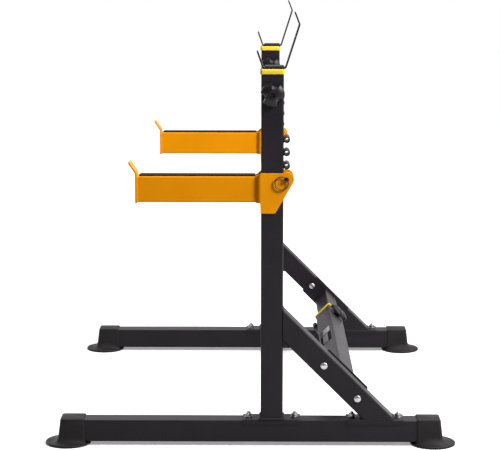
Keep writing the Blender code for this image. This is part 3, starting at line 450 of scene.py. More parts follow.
def add_softened(name, node, body):
    """Adds a black piece of the CAD node's own shape, its edges rounded by a bevel."""
    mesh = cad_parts[node].data.copy()
    work = bmesh.new()
    work.from_mesh(mesh)
    bmesh.ops.remove_doubles(work, verts=work.verts, dist=1e-5)
    edges = list(work.edges)
    bmesh.ops.dissolve_limit(work, angle_limit=math.radians(1), verts=work.verts, edges=edges)
    work.to_mesh(mesh)
    work.free()
    bevel = add_mesh(name, mesh, BLACK, body, node).modifiers.new("soft_edges", "BEVEL")
    bevel.width = FOLD_EDGE
    bevel.segments = 2
    bevel.limit_method = "ANGLE"
    bevel.angle_limit = math.radians(40)
    bevel.harden_normals = True


def carve(piece, cutter_shell, sharp=SHARP):
    """Cuts holes in a piece and keeps the result as its own mesh."""
    cutter = new_object("cutter", cutter_shell.mesh("cutter"))
    modifier = piece.modifiers.new("cut", "BOOLEAN")
    modifier.operation = "DIFFERENCE"
    modifier.solver = "EXACT"
    modifier.object = cutter
    graph = bpy.context.evaluated_depsgraph_get()
    carved = bpy.data.meshes.new_from_object(piece.evaluated_get(graph))
    piece.modifiers.remove(modifier)
    piece.data = carved
    smooth(carved, sharp)
    bpy.data.objects.remove(cutter)


# Materials


class Value:
    """A shader socket that takes part in arithmetic, with one Math node for each operation."""

    def __init__(self, finish, socket):
        self.finish = finish
        self.socket = socket

    def maths(self, operation, first, second):
        return self.finish.node("ShaderNodeMath", {0: first, 1: second}, operation=operation)

    def __add__(self, other):
        return self.maths("ADD", self, other)

    def __sub__(self, other):
        return self.maths("SUBTRACT", self, other)

    def __rsub__(self, other):
        return self.maths("SUBTRACT", other, self)

    def __mul__(self, other):
        return self.maths("MULTIPLY", self, other)

    __radd__ = __add__
    __rmul__ = __mul__


class Finish:
    """A material built round one Principled shader, with methods that add the nodes feeding it."""

    def __init__(self, name, **constants):
        self.material = bpy.data.materials.new(name)
        self.material.use_nodes = True
        self.tree = self.material.node_tree
        self.shader = self.tree.nodes["Principled BSDF"]
        for socket, value in constants.items():
            self.set(socket.replace("_", " "), value)

    def feed(self, socket, value):
        if isinstance(value, Value):
            self.tree.links.new(value.socket, socket)
        elif isinstance(value, tuple) and len(value) == 3 and socket.type == "RGBA":
            socket.default_value = (*value, 1)
        else:
            socket.default_value = value

    def set(self, socket, value):
        self.feed(self.shader.inputs[socket], value)

    def node(self, kind, inputs, output=0, **settings):
        """Adds a node, its settings first, and gives one of its outputs as a Value."""
        made = self.tree.nodes.new(kind)
        for name, setting in settings.items():
            setattr(made, name, setting)
        for socket, value in inputs.items():
            self.feed(made.inputs[socket], value)
        return Value(self, made.outputs[output])

    def place(self, scale=(1, 1, 1)):
        coordinates = self.node("ShaderNodeTexCoord", {}, "Object")
        return self.node("ShaderNodeMapping", {"Vector": coordinates, "Scale": scale})

    def noise(self, scale, detail=2, stretch=(1, 1, 1), roughness=0.5):
        values = {"Vector": self.place(stretch), "Scale": scale, "Detail": detail}
        return self.node("ShaderNodeTexNoise", {**values, "Roughness": roughness})

    def clamp(self, value, low=0, high=1):
        return self.node("ShaderNodeClamp", {"Value": value, "Min": low, "Max": high})

    def band(self, value, low, high):
        """0 below low, 1 above high and a smooth step between them."""
        inputs = {"Value": value, 1: low, 2: high}
        return self.node("ShaderNodeMapRange", inputs, interpolation_type="SMOOTHSTEP")

    def within(self, value, low, high):
        """1 between low and high and 0 beyond them, with a smooth step at each."""
        rising = self.band(value, low - PRINT_BLUR, low + PRINT_BLUR)
        return rising * (1 - self.band(value, high - PRINT_BLUR, high + PRINT_BLUR))

    def blend(self, factor, first, second):
        return self.node("ShaderNodeMix", {0: factor, 6: first, 7: second}, 2, data_type="RGBA")

    def surface(self, tone, colours, roughness, specular, height, strength, distance):
        """Sets the colour, which tone carries from the first to the second, the shine and the bump."""
        self.set("Base Color", self.blend(tone, *colours))
        self.set("Roughness", roughness)
        self.set("Specular IOR Level", specular)
        inputs = {"Height": height, "Strength": strength, "Distance": distance}
        self.set("Normal", self.node("ShaderNodeBump", inputs))
        return self.material


def powder_coat(name, colours, roughness, specular):
    """Satin powder coat: orange peel about a millimetre across over a fine grain, faintly uneven."""
    finish = Finish(name)
    peel = finish.noise(650, 2)
    grain = finish.noise(2400, 1)
    patch = finish.noise(14, 3)
    shine = roughness + 0.10 * (patch - 0.5) + 0.12 * (peel - 0.5)
    height = peel * 0.75 + grain * 0.25
    return finish.surface(finish.band(patch, 0.3, 0.7), colours, shine, specular, height, 0.30, 0.0002)


def moulded_plastic(name, colours, roughness, specular, grain_depth):
    """Spark-textured moulding: an even fine grain that scatters the shine, with faint flow marks."""
    finish = Finish(name)
    grain = finish.noise(1700, 3, roughness=0.6)
    flow = finish.noise(45, 2, stretch=(1, 1, 0.3))
    shine = roughness + 0.14 * (grain - 0.5) + 0.06 * (flow - 0.5)
    return finish.surface(finish.band(flow, 0.3, 0.7), colours, shine, specular, grain, 0.3, grain_depth)


def rubber(name, colours, specular):
    """Matt moulded rubber: a dusty bloom in soft patches over a fine grain."""
    finish = Finish(name)
    grain = finish.noise(1300, 3, roughness=0.65)
    dust = finish.band(finish.noise(30, 4, roughness=0.6), 0.42, 0.75)
    shine = 0.58 + 0.14 * dust + 0.12 * (grain - 0.5)
    return finish.surface(dust, colours, shine, specular, grain, 0.45, 0.00025)


def plated_steel(name, colours, roughness):
    """Plated steel: a fine crystal spangle and faint drawn streaks in colour and shine."""
    finish = Finish(name, Metallic=1.0)
    cells = {"Vector": finish.place(), "Scale": 420, "Randomness": 1.0}
    spangle = finish.node("ShaderNodeTexVoronoi", cells)
    streak = finish.noise(240, 3, stretch=(1, 1, 6))
    haze = finish.noise(60, 3)
    tone = finish.band(0.6 * streak + 0.4 * haze, 0.35, 0.65)
    shine = finish.clamp(roughness + 0.16 * (haze - 0.5) + 0.10 * spangle, 0.08, 0.7)
    return finish.surface(tone, colours, shine, 0.5, streak * 0.7 + spangle * 0.3, 0.12, 0.0001)


LABEL_LENGTH = 0.178
LABEL_WIDTH = 0.040
LABEL_CORNER = 0.003
LABEL_THICKNESS = 0.0004
LABEL_Y = -0.110
LABEL_ACROSS = 0.0025
LABEL_HEADER = (0.0245, 0.0865)
LABEL_FIELD = (-0.0815, 0.0155)
LABEL_HEADER_WIDTH = (-0.0149, 0.0104)
LABEL_FIELD_WIDTH = (-0.0058, 0.0138)
LABEL_UPPER_START = 0.020
PRINT_BLUR = 0.0004


def blank_label(name, colours):
    """Bare printed label: a pale header on grey over a grey field on black, without lettering.

    The panels are bounded by the distance along the crossbar from the label's middle and by the
    distance across it from the crossbar's middle line.
    """
    finish = Finish(name)
    fibre = finish.noise(900, 2)
    spot = finish.place()
    along = finish.node("ShaderNodeSeparateXYZ", {"Vector": spot}, "Y") - LABEL_Y
    height = finish.node("ShaderNodeSeparateXYZ", {"Vector": spot}, "Z")
    across = (height - CROSSBAR_Z) * (-1 / DIAGONAL) + TUBE / 2
    header = finish.within(along, *LABEL_HEADER) * finish.within(across, *LABEL_HEADER_WIDTH)
    field = finish.within(along, *LABEL_FIELD) * finish.within(across, *LABEL_FIELD_WIDTH)
    upper = finish.band(along, LABEL_UPPER_START - PRINT_BLUR, LABEL_UPPER_START + PRINT_BLUR)
    tone = header * (0.48 + 0.2 * fibre) + upper * 0.26 + field * (0.54 + 0.2 * fibre)
    shine = 0.42 + 0.1 * (fibre - 0.5)
    return finish.surface(finish.clamp(tone), colours, shine, 0.0, fibre, 0.1, 0.0001)


# Each finish: what makes it, its two colours, and then its shine and grain
LOOKS = {
    BLACK: (powder_coat, ((0.0112, 0.0085, 0.0118), (0.0140, 0.0110, 0.0150)), 0.42, 0.13),
    ORANGE: (powder_coat, ((0.70, 0.245, 0.0), (0.74, 0.266, 0.0)), 0.40, 0.10),
    "yellow_plastic": (
        moulded_plastic, ((0.66, 0.495, 0.026), (0.70, 0.530, 0.032)), 0.50, 0.10, 0.00003,
    ),
    "black_plastic": (
        moulded_plastic, ((0.0065, 0.0054, 0.0062), (0.0090, 0.0076, 0.0088)), 0.38, 0.20, 0.0001,
    ),
    "black_rubber": (rubber, ((0.0098, 0.0086, 0.0092), (0.0150, 0.0134, 0.0142)), 0.16),
    "pad_rubber": (rubber, ((0.0060, 0.0055, 0.0055), (0.0100, 0.0095, 0.0095)), 0.03),
    # Cradle pads: grey rubber, lightened further as a painted highlight where their tops catch the light.
    "grey_rubber_with_painted_highlight": (rubber, ((0.030, 0.028, 0.027), (0.044, 0.041, 0.040)), 0.16),
    "zinc_steel": (plated_steel, ((0.30, 0.30, 0.315), (0.42, 0.42, 0.43)), 0.28),
    # Split ring: its orange-brown tint is a painted reflection of the orange bracket, and its dark base is
    # partly painted shade round the wire.
    "ring_steel_with_painted_reflection": (plated_steel, ((0.090, 0.054, 0.034), (0.150, 0.096, 0.064)), 0.16),
    "dark_steel": (plated_steel, ((0.018, 0.017, 0.017), (0.040, 0.038, 0.038)), 0.32),
    "blank_label": (blank_label, ((0.020, 0.018, 0.022), (0.36, 0.35, 0.36))),
}
FINISHES = {name: make(name, *values) for name, (make, *values) in LOOKS.items()}


# Pieces of a side frame


def add_base_tube(side, y, body):
    rows = placed(tube_rows(TUBE_SECTION, BASE_LENGTH), (-BASE_LENGTH / 2, y, BASE_MIDDLE), REARWARD)
    dress(f"{side}_base_tube", Shell().add(rows, loop=True), BLACK, body)


FOOT_RADIUS = 0.062
FOOT_REACH = 0.046
FOOT_RIM = 0.007
FOOT_WALL = 0.003
FOOT_GRIP = 0.062
FOOT_LEAN = 0.005
FOOT_FLARE_TOP = 0.031
FOOT_INNER_CORNER = 0.0035
FOOT_OUTER_CORNER = 0.008
FOOT_SOLE_GROOVES = (0.018, 0.030, 0.042, 0.052)


def foot_cap(inset, lean):
    """Plan of the cap over the tube's end: four straight sides evenly split between round corners."""
    half = TUBE / 2 + FOOT_WALL - inset
    low, high = -FOOT_GRIP + inset, FOOT_WALL + FOOT_LEAN - lean - inset
    outer = FOOT_OUTER_CORNER - inset
    corners = []
    for quarter, x, y, radius in (
        (2, low, -half, FOOT_INNER_CORNER),
        (3, high, -half, outer),
        (0, high, half, outer),
        (1, low, half, FOOT_INNER_CORNER),
    ):
        start = quarter * math.pi / 2
        angle = np.linspace(start, start + math.pi / 2, 9)
        arc = np.column_stack([np.cos(angle), np.sin(angle)])
        centre = np.array([x, y]) - radius * np.sign(arc[4])
        corners.append(centre + radius * arc)
    share = np.concatenate([[0.01], np.linspace(0, 1, 13)[1:-1], [0.99]])[:, None]
    runs = []
    for here, after in zip(corners, corners[1:] + corners[:1]):
        runs += [here, here[-1] + share * (after[0] - here[-1])]
    return np.vstack(runs)


def foot_rows():
    """Blend from a circle on the floor to the square cap: circle + (cap - circle) * sin a.

    The height grows as 1 - cos a meanwhile, which makes the hollow flare. The sole is grooved.
    """
    cap = foot_cap(0, 0)
    centre = np.array([FOOT_REACH - FOOT_RADIUS, 0])
    way = unit(cap - centre)
    profile = [
        (groove + offset, z)
        for groove in FOOT_SOLE_GROOVES
        for offset, z in ((-0.0018, 0), (-0.0012, 0.0012), (0.0012, 0.0012), (0.0018, 0))
    ]
    profile += [
        (FOOT_RADIUS - 0.0016, 0),
        (FOOT_RADIUS - 0.0005, 0.0005),
        (FOOT_RADIUS, 0.0016),
        (FOOT_RADIUS, FOOT_RIM - 0.0030),
        (FOOT_RADIUS - 0.0004, FOOT_RIM - 0.0017),
        (FOOT_RADIUS - 0.0012, FOOT_RIM - 0.0008),
        (FOOT_RADIUS - 0.0023, FOOT_RIM - 0.0002),
    ]
    rows = [centre + radius * way for radius, _ in profile]
    heights = [z for _, z in profile]
    rim = centre + (FOOT_RADIUS - 0.0036) * way
    for angle in np.linspace(0, math.pi / 2, 16):
        rows.append(rim + (cap - rim) * math.sin(angle))
        heights.append(FOOT_RIM + (FOOT_FLARE_TOP - FOOT_RIM) * (1 - math.cos(angle)))
    top = BASE_TOP + FOOT_WALL
    for inset, z in ((0, top - 0.003), (0.0003, top - 0.0016), (0.0012, top - 0.0005), (0.0026, top)):
        rows.append(foot_cap(inset, FOOT_LEAN))
        heights.append(z)
    return stacked(rows, heights)


def add_foot(side, end, y, body):
    direction = -1 if end == "front" else 1
    outward = (direction, 0, 0)
    x = direction * BASE_LENGTH / 2
    shell = Shell().add(placed(foot_rows(), (x, y, 0), (outward, UP)))
    foot = dress(f"{side}_{end}_foot", shell, "black_rubber", body, FOOT_SHARP)
    half = TUBE / 2 + GAP
    pocket = rounded_rectangle(half, half, TUBE_CORNER + GAP)
    rows = stacked([pocket, pocket], [-2 * FOOT_RADIUS, GAP])
    carve(foot, Shell().add(placed(rows, (x, y, BASE_MIDDLE), (UP, outward))), FOOT_SHARP)


def add_saddle(side, name, centre_x, y, body):
    """Folded plate over the base tube, a lip down each side."""
    middle = TUBE / 2 + GAP + SADDLE_PLATE / 2
    low = SADDLE_TOP - SADDLE_LIP
    high = SADDLE_TOP - SADDLE_PLATE / 2
    folds = [(-middle, low), (-middle, high), (middle, high), (middle, low)]
    rows = strip_rows(folds, SADDLE_BEND, SADDLE_PLATE, SADDLE_LENGTH, SADDLE_CORNER)
    rows = rows[..., [2, 0, 1]] + np.array([centre_x, y, 0])
    dress(f"{side}_{name}", Shell().add(rows), BLACK, body)


BOLT_RADIUS = 0.005
HEAD_RADIUS = 0.0098
HEAD_HEIGHT = 0.005
HEAD_RIM = 0.0012
WASHER_RADIUS = 0.011
WASHER = 0.002
CHAMFER = 0.0003
NUT_FLATS = 0.017
NUT_HEIGHT = 0.008
BOLT_TIP = 0.005
BOLT_TAPER = 0.0012
THREAD_PITCH = 0.0015
THREAD_DEPTH = 0.0008


def nut_rows(bottom, top):
    """Hexagon trimmed by a cone at each face: r = min(flat / cos(angle from its middle), cone)."""
    angle = full_turn(72)
    to_flat = (angle + math.pi / 6) % (math.pi / 3) - math.pi / 6
    hexagon = NUT_FLATS / 2 / np.cos(to_flat)
    height = np.array([0, 0, 0.0002, 0.0006, 0.0011, 0.0018])
    cone = np.array([BOLT_RADIUS, NUT_FLATS / 2 - 0.0002, 0.00865, 0.0091, 0.0096, 0.0100])
    reach = np.concatenate([cone, cone[::-1]])[:, None]
    z = np.concatenate([bottom + height, (top - height)[::-1]])
    return turned(np.minimum(hexagon, reach), z, angle)


def thread_rows(bottom, top):
    """Screw thread: r = bolt - depth * |saw|, with the saw of z / pitch - angle / turn.

    Over the last of its height the thread runs out into the narrower tip.
    """
    angle = full_turn(32)
    z = np.linspace(bottom, top, max(6, int((top - bottom) / THREAD_PITCH * 8)))
    phase = z[:, None] / THREAD_PITCH - angle / (2 * math.pi)
    saw = np.abs(phase % 1 - 0.5) * 2
    lead_out = np.clip((top - z) / THREAD_DEPTH, 0, 1)[:, None]
    radius = BOLT_RADIUS - THREAD_DEPTH * saw * lead_out - BOLT_TAPER * (1 - lead_out)
    return turned(radius, z, angle)


def bolt_shell(grip, origin, axes):
    """Domed bolt, washer and nut, head at -Z, gripping from z = 0 to z = grip."""
    bulge = np.linspace(0, math.pi / 2, 9)[1:]
    base = -GAP
    dome = np.column_stack([
        HEAD_RADIUS * np.sin(bulge),
        base - HEAD_RIM - (HEAD_HEIGHT - HEAD_RIM) * np.cos(bulge),
    ])
    washer_base = grip + GAP
    nut_base = washer_base + WASHER
    tip = nut_base + NUT_HEIGHT
    head = revolved([
        (0.0006, base - HEAD_HEIGHT), *dome, (HEAD_RADIUS, base - CHAMFER), (HEAD_RADIUS - CHAMFER, base)
    ])
    shank = revolved([(BOLT_RADIUS, base - EDGE), (BOLT_RADIUS, washer_base + EDGE)], 24)
    washer = revolved([
        (BOLT_RADIUS, washer_base),
        (WASHER_RADIUS - CHAMFER, washer_base),
        (WASHER_RADIUS, washer_base + CHAMFER),
        (WASHER_RADIUS, nut_base - CHAMFER),
        (WASHER_RADIUS - CHAMFER, nut_base),
        (BOLT_RADIUS, nut_base),
    ])
    shell = Shell()
    for rows in (head, shank, washer, nut_rows(nut_base, tip), thread_rows(tip - 0.001, tip + BOLT_TIP)):
        shell.add(placed(rows, origin, axes))
    return shell


def add_saddle_bolts(side, y, body):
    half = SADDLE_BOLT_SPACING / 2
    for saddle, middle in (("upright", UPRIGHT_X), ("brace", BRACE_SADDLE_X)):
        for end, offset in (("front", -half), ("rear", half)):
            place = (middle + offset, y, BASE_CLEARANCE)
            shell = bolt_shell(SADDLE_TOP - BASE_CLEARANCE, place, UPWARD)
            dress(f"{side}_{saddle}_{end}_bolt", shell, "zinc_steel", body)


def sleeve_rows():
    """Short pipe about Z with its edges broken, as a loop of radius and height."""
    outer, bore, half = SLEEVE_RADIUS, PIN_HOLE_RADIUS, SLEEVE_LENGTH / 2
    return revolved([
        (outer - EDGE, -half), (outer, EDGE - half), (outer, half - EDGE), (outer - EDGE, half),
        (bore + EDGE, half), (bore, half - EDGE), (bore, EDGE - half), (bore + EDGE, -half),
    ])


SLEEVE_WELD_HALF = 0.027
SLEEVE_WELD_RISE = 0.0062
SLEEVE_WELD_STEPS = 30


def sleeve_weld_path(y, z):
    """Narrow loop between a sleeve and the upright: left on its one side and back on the other."""
    along = np.linspace(-SLEEVE_WELD_HALF, SLEEVE_WELD_HALF, SLEEVE_WELD_STEPS)
    x = np.repeat([UPRIGHT_REAR_X - 0.0002, UPRIGHT_REAR_X + 0.0008], SLEEVE_WELD_STEPS)
    return np.column_stack([x, y + np.concatenate([along, along[::-1]]), np.full_like(x, z)])


def boss_rows():
    """Low round boss under a knob."""
    return revolved([(0.010, 0), (0.011, 0.0002), (0.011, 0.0027), (0.0107, 0.003), (0.0056, 0.003)])


def add_upright(side, y, body):
    """Upright tube with the pin sleeves behind it, the boss of the knob and its welds."""
    rows = tube_rows(TUBE_SECTION, UPRIGHT_TOP - UPRIGHT_FOOT)
    shell = Shell().add(rows + np.array([UPRIGHT_X, y, UPRIGHT_FOOT]), loop=True)
    shell.add(placed(boss_rows(), (UPRIGHT_X, y - TUBE / 2, POST_KNOB_HEIGHT), RIGHTWARD))
    foot = ring_path(TUBE_SECTION, UPRIGHT_FOOT + 0.0006, 0.0004)
    welds = Shell().weld(foot + np.array([UPRIGHT_X, y, 0]), UP, UPRIGHT_WELD)
    for index in range(SLEEVE_COUNT):
        z = PIN_HEIGHT + index * SLEEVE_PITCH
        shell.add(placed(sleeve_rows(), (PIN_X, y, z), RIGHTWARD), loop=True)
        for rise in (-SLEEVE_WELD_RISE, SLEEVE_WELD_RISE):
            welds.weld(sleeve_weld_path(y, z + rise), UP, SLEEVE_WELD)
    add_piece(f"{side}_upright_looks", shell, BLACK, body, f"{side}_upright_tube")
    add_piece(f"{side}_upright_welds", welds, BLACK, body, sharp=WELD_SHARP)


def add_brace(side, y, body):
    """Square tube cut upright at its head and level at its foot, so z also grows by -x and +x."""
    length = (BRACE_TOP_HEIGHT - UPRIGHT_FOOT) / DIAGONAL
    gap = GAP / DIAGONAL
    rows = tube_rows(TUBE_SECTION, length - gap, (-1, 1))
    rows[..., 2] += gap
    frame_of_brace = ((UPRIGHT_REAR_X, y, BRACE_TOP_HEIGHT), ((DIAGONAL, 0, DIAGONAL), ALONG_BRACE))
    shell = Shell().add(placed(rows, *frame_of_brace), loop=True)
    add_piece(f"{side}_brace_looks", shell, BLACK, body, f"{side}_brace_tube")
    welds = Shell()
    for end, slope, axis in ((gap + 0.0010, -1, REAR), (length - 0.0012, 1, UP)):
        path = ring_path(TUBE_SECTION, end)
        path[:, 2] += slope * path[:, 0]
        welds.weld(placed(path, *frame_of_brace), axis, BRACE_WELD)
    add_piece(f"{side}_brace_welds", welds, BLACK, body, sharp=WELD_SHARP)


def collar_rows():
    """Square collar with a guide sleeve below it, as a loop of (half side, height) round its wall."""
    hole = SLIDER / 2 + GAP
    sleeve = TUBE / 2 - TUBE_WALL - GAP
    side = COLLAR_SIDE / 2
    top = COLLAR_HEIGHT
    lip = COLLAR_HEIGHT + COLLAR_LIP
    half, z = np.array([
        (sleeve, -COLLAR_DEPTH), (sleeve, 0), (side - 0.0004, 0), (side, 0.0004),
        (side, top - 0.0026), (side - 0.0003, top - 0.0014), (side - 0.0010, top - 0.0005),
        (side - 0.0020, top), (hole + 0.0021, top), (hole + 0.0018, lip - 0.0003),
        (hole + 0.0015, lip), (hole + 0.0005, lip), (hole, lip - 0.0005), (hole, -COLLAR_DEPTH),
    ]).T
    radius = np.maximum(COLLAR_CORNER - (side - half), 0.00175)
    return stacked(rounded_rectangle(half, half, radius), z)


def add_upright_collar(side, y, body):
    rows = collar_rows() + np.array([UPRIGHT_X, y, UPRIGHT_TOP + GAP])
    dress(f"{side}_upright_collar", Shell().add(rows, loop=True), "yellow_plastic", body)


def add_post(side, y, body):
    """Sliding post with round holes along its right face and a weld under the cradle."""
    rows = tube_rows(SLIDER_SECTION, POST_LENGTH) + np.array([UPRIGHT_X, y, POST_TOP - POST_LENGTH])
    post = dress(f"{side}_post", Shell().add(rows, loop=True), BLACK, body)
    hole = revolved([(POST_HOLE_RADIUS, 0.019), (POST_HOLE_RADIUS, 0.030)], 40)
    holes = Shell()
    for index in range(POST_HOLE_COUNT):
        place = (UPRIGHT_X, y, POST_KNOB_HEIGHT - index * POST_HOLE_PITCH)
        holes.add(placed(hole, place, RIGHTWARD))
    carve(post, holes)
    lip = ring_path(SLIDER_SECTION, POST_TOP - 0.0006, -0.0004) + np.array([UPRIGHT_X, y, 0])
    add_piece(f"{side}_post_weld", Shell().weld(lip, UP, POST_WELD), BLACK, body, sharp=WELD_SHARP)


PAD_EDGE = 0.0011
PAD_CORNER = 0.003
PAD_CROWN = 0.0004
ARM_PAD_CROWN = 0.0003


def pad_rows(size, crown=PAD_CROWN):
    """Sheet rubber pad: flat below, a quarter-round shoulder, and a top that crowns to its middle.

    The top rows shrink towards the middle while the height grows as crown * (1 - share^2).
    """
    length, width, thickness = size
    base = thickness - crown
    angle = np.linspace(0, math.pi / 2, 6)
    inset = np.array([0.0003, 0, *(PAD_EDGE * (1 - np.cos(angle)))])
    z = [0, 0.0003, *(base - PAD_EDGE + PAD_EDGE * np.sin(angle))]
    radius = np.maximum(PAD_CORNER - inset, 0.001)
    outlines = list(rounded_rectangle(length / 2 - inset, width / 2 - inset, radius))
    last = outlines[-1]
    for share in (0.92, 0.8, 0.62, 0.42, 0.2, 0.02):
        outlines.append(last * share)
        z.append(base + crown * (1 - share**2))
    return stacked(outlines, z)


def add_pad(node, rows, body, finish="pad_rubber"):
    pad = add_piece(f"{node}_rubber", Shell().add(rows), finish, body, node, SMALL_ROUND_SHARP)


def add_cradle(side, y, body):
    """One strip bent into a short front arm, a floor and a tall rear arm with a knee."""
    floor = GAP + CRADLE_PLATE
    middle = GAP + CRADLE_PLATE / 2
    tips = [(x, floor + rise) for x, rise in (CRADLE_FRONT_TIP, CRADLE_KNEE, CRADLE_REAR_TIP)]
    path = [tips[0], (CRADLE_FRONT_X, middle), (CRADLE_REAR_X, middle), *tips[1:]]
    rows = strip_rows(path, CRADLE_BEND, CRADLE_PLATE, CRADLE_WIDTH, CRADLE_CORNER)
    rows = rows[..., [0, 2, 1]] + np.array([UPRIGHT_X, y, POST_TOP])
    dress(f"{side}_cradle", Shell().add(rows), BLACK, body)
    place = np.array([UPRIGHT_X + (CRADLE_FRONT_X + CRADLE_REAR_X) / 2, y, POST_TOP + floor + GAP])
    # The cradle pad's lighter rubber is partly a painted highlight on its top.
    add_pad(f"{side}_cradle_pad", pad_rows(CRADLE_PAD) + place, body, "grey_rubber_with_painted_highlight")


KNOB_RADIUS = 0.032
KNOB_SCALLOP_RADIUS = 0.0128
KNOB_SCALLOP_DEPTH = 0.010
KNOB_SCALLOP_ANGLE = math.radians(74)
KNOB_SOFTNESS = 0.0011
KNOB_SHOULDER = 0.0080
KNOB_ROUND = 0.0046
KNOB_CROWN = 0.018
KNOB_HUB = 0.0110
KNOB_RECESS = 0.012
KNOB_RECESS_REACH = 0.0078
KNOB_RECESS_DEPTH = 0.0050


def knob_reach(angle):
    """Distance to the lobed outline: the nearer of the circle and the scallop on that ray.

    A scallop's circle of radius s at distance D is met at D cos d - sqrt(s^2 - D^2 sin^2 d). The two
    are blended by a soft minimum, which rounds the lobes' tips.
    """
    distance = KNOB_RADIUS - KNOB_SCALLOP_DEPTH + KNOB_SCALLOP_RADIUS
    third = 2 * math.pi / 3
    off = (angle - KNOB_SCALLOP_ANGLE + third / 2) % third - third / 2
    under = KNOB_SCALLOP_RADIUS**2 - (distance * np.sin(off)) ** 2
    scallop = distance * np.cos(off) - np.sqrt(np.maximum(under, 0))
    scallop = np.where(under > 0, scallop, KNOB_RADIUS + 0.01)
    soft = KNOB_SOFTNESS
    return -soft * np.log(np.exp(-scallop / soft) + math.exp(-KNOB_RADIUS / soft))


def knob_rows():
    """Lobed wall with a broad round shoulder under a shallow crown, and a square recess in its middle.

    Along the shoulder the outline draws in by r (1 - cos a) while the height grows by r sin a.
    Each row of the crown is outline + (round hub - outline) * share, and it rises as 1 - (1 - share)^2.
    """
    angle = full_turn(192)
    lobed = knob_reach(angle)
    square = KNOB_RECESS / 2 / np.maximum(np.abs(np.cos(angle)), np.abs(np.sin(angle)))
    square = np.minimum(square, KNOB_RECESS_REACH)
    hub = np.full_like(angle, KNOB_HUB)
    plan = [
        (np.full_like(angle, 0.0030), 0.0),
        (hub, 0.0),
        (hub, 0.0012),
        (lobed - 0.0030, 0.0014),
        (lobed - 0.0012, 0.0017),
        (lobed - 0.0003, 0.0026),
        (lobed, 0.0036),
        (lobed, KNOB_SHOULDER - 0.0005),
    ]
    for turn in np.linspace(0, math.radians(56), 9):
        height = KNOB_SHOULDER + KNOB_ROUND * math.sin(turn)
        plan.append((lobed - KNOB_ROUND * (1 - math.cos(turn)), height))
    outer, height = plan[-1]
    for share in (0.12, 0.25, 0.4, 0.55, 0.7, 0.85, 0.95):
        rise = (KNOB_CROWN - height) * (1 - (1 - share) ** 2)
        plan.append((outer + (hub - outer) * share, height + rise))
    plan += [
        (hub * 0.93, KNOB_CROWN),
        (square + 0.0012, KNOB_CROWN),
        (square + 0.0003, KNOB_CROWN - 0.0003),
        (square, KNOB_CROWN - 0.0010),
        (square - 0.0002, KNOB_CROWN - KNOB_RECESS_DEPTH),
        (square * 0.3, KNOB_CROWN - KNOB_RECESS_DEPTH),
    ]
    radii, heights = zip(*plan)
    return turned(np.array(radii), heights, angle)


def add_knob(name, origin, axes, body):
    knob = Shell().add(placed(knob_rows(), origin, axes))
    stud = revolved([(0.0044, -0.008), (0.005, -0.0074), (0.005, 0.0005)], 32)
    dress(name, knob, "black_plastic", body, KNOB_SHARP)
    add_piece(f"{name}_stud", Shell().add(placed(stud, origin, axes)), "zinc_steel", body)


BRACKET_EAR = 0.0195
BRACKET_SLOPE = math.radians(60)
BRACKET_STEP = 0.0094
BRACKET_BEND = 0.0088
BRACKET_BEND_REACH = 0.0125
BRACKET_SOFTNESS = 0.0016
BRACKET_TIP_HALF = 0.0007
BROW_DROP = 0.0092


def bracket_heights(x):
    """Lowest and highest z of the bracket at each x, read off its side outline.

    The web ends below the arm at a step. Behind it come the level foot, the slanting rear edge and
    the arc of the ear, and on top the chamfered brow. A soft maximum rounds the foot's rear corner.
    """
    from_pin = np.clip((x - PIN_X) / BRACKET_EAR, -1, 1)
    arc = BRACKET_EAR * np.sqrt(1 - from_pin**2)
    tangent_x = PIN_X + BRACKET_EAR * math.cos(BRACKET_SLOPE - math.pi / 2)
    tangent_z = PIN_HEIGHT + BRACKET_EAR * math.sin(BRACKET_SLOPE - math.pi / 2)
    slant = tangent_z - (tangent_x - x) * math.tan(BRACKET_SLOPE)
    low = np.where(x > tangent_x, PIN_HEIGHT - arc, slant)
    soft = BRACKET_SOFTNESS
    low = soft * np.log(np.exp((low - BRACKET_BOTTOM) / soft) + 1) + BRACKET_BOTTOM
    low = np.where(x < WEB_OUTER_X + BRACKET_STEP + EASE / 2, WEB_BOTTOM, low)
    top = PIN_HEIGHT + BRACKET_RISE
    brow = top - BROW_DROP * np.clip((UPRIGHT_X - TUBE / 2 - x) / BRACKET_STEP, 0, 1)
    on_ear = x > PIN_X - math.sqrt(BRACKET_EAR**2 - BRACKET_RISE**2)
    return low, np.where(on_ear, PIN_HEIGHT + arc, brow)


def add_arm_bracket(side, y, body):
    """Plate bent into a U round the upright, its height following the side outline at each x."""
    half = BRACKET_OUTER - BRACKET_PLATE / 2
    web = WEB_OUTER_X + BRACKET_PLATE / 2
    rear = PIN_X + BRACKET_EAR
    places, headings = bent_path([(rear, -half), (web, -half), (web, half), (rear, half)], BRACKET_BEND, 16)
    behind_bend = WEB_OUTER_X + BRACKET_BEND_REACH
    front = places[:, 0] < behind_bend - 1e-6
    ear = PIN_X + BRACKET_EAR * np.cos(np.linspace(0.10, 2.0, 44))
    cheek = np.concatenate([ear, np.linspace(ear[-1] - 0.001, behind_bend, 40)])
    near = np.column_stack([cheek, np.full(len(cheek), -half)])
    far = near[::-1] * np.array([1, -1])
    path = np.vstack([near, places[front], far])
    forward = np.tile([-1.0, 0.0], (len(cheek), 1))
    ways = np.vstack([forward, headings[front], -forward])
    low, high = bracket_heights(path[:, 0])
    rows = swept(path, ways, BRACKET_PLATE, np.maximum((high - low) / 2, BRACKET_TIP_HALF), FOLD_EDGE)
    rows[..., 1] += y
    rows[..., 2] += ((high + low) / 2)[:, None]
    bracket = dress(f"{side}_arm_bracket", Shell().add(rows), ORANGE, body)
    hole = revolved([(PIN_HOLE_RADIUS, -0.045), (PIN_HOLE_RADIUS, 0.045)], 40)
    carve(bracket, Shell().add(placed(hole, (PIN_X, y, PIN_HEIGHT), RIGHTWARD)))
    place = (WEB_INNER_X + GAP, y, WEB_BOTTOM + LINER_RISE + LINER[0] / 2)
    add_pad(f"{side}_arm_liner", placed(pad_rows(LINER), place, REARWARD), body)


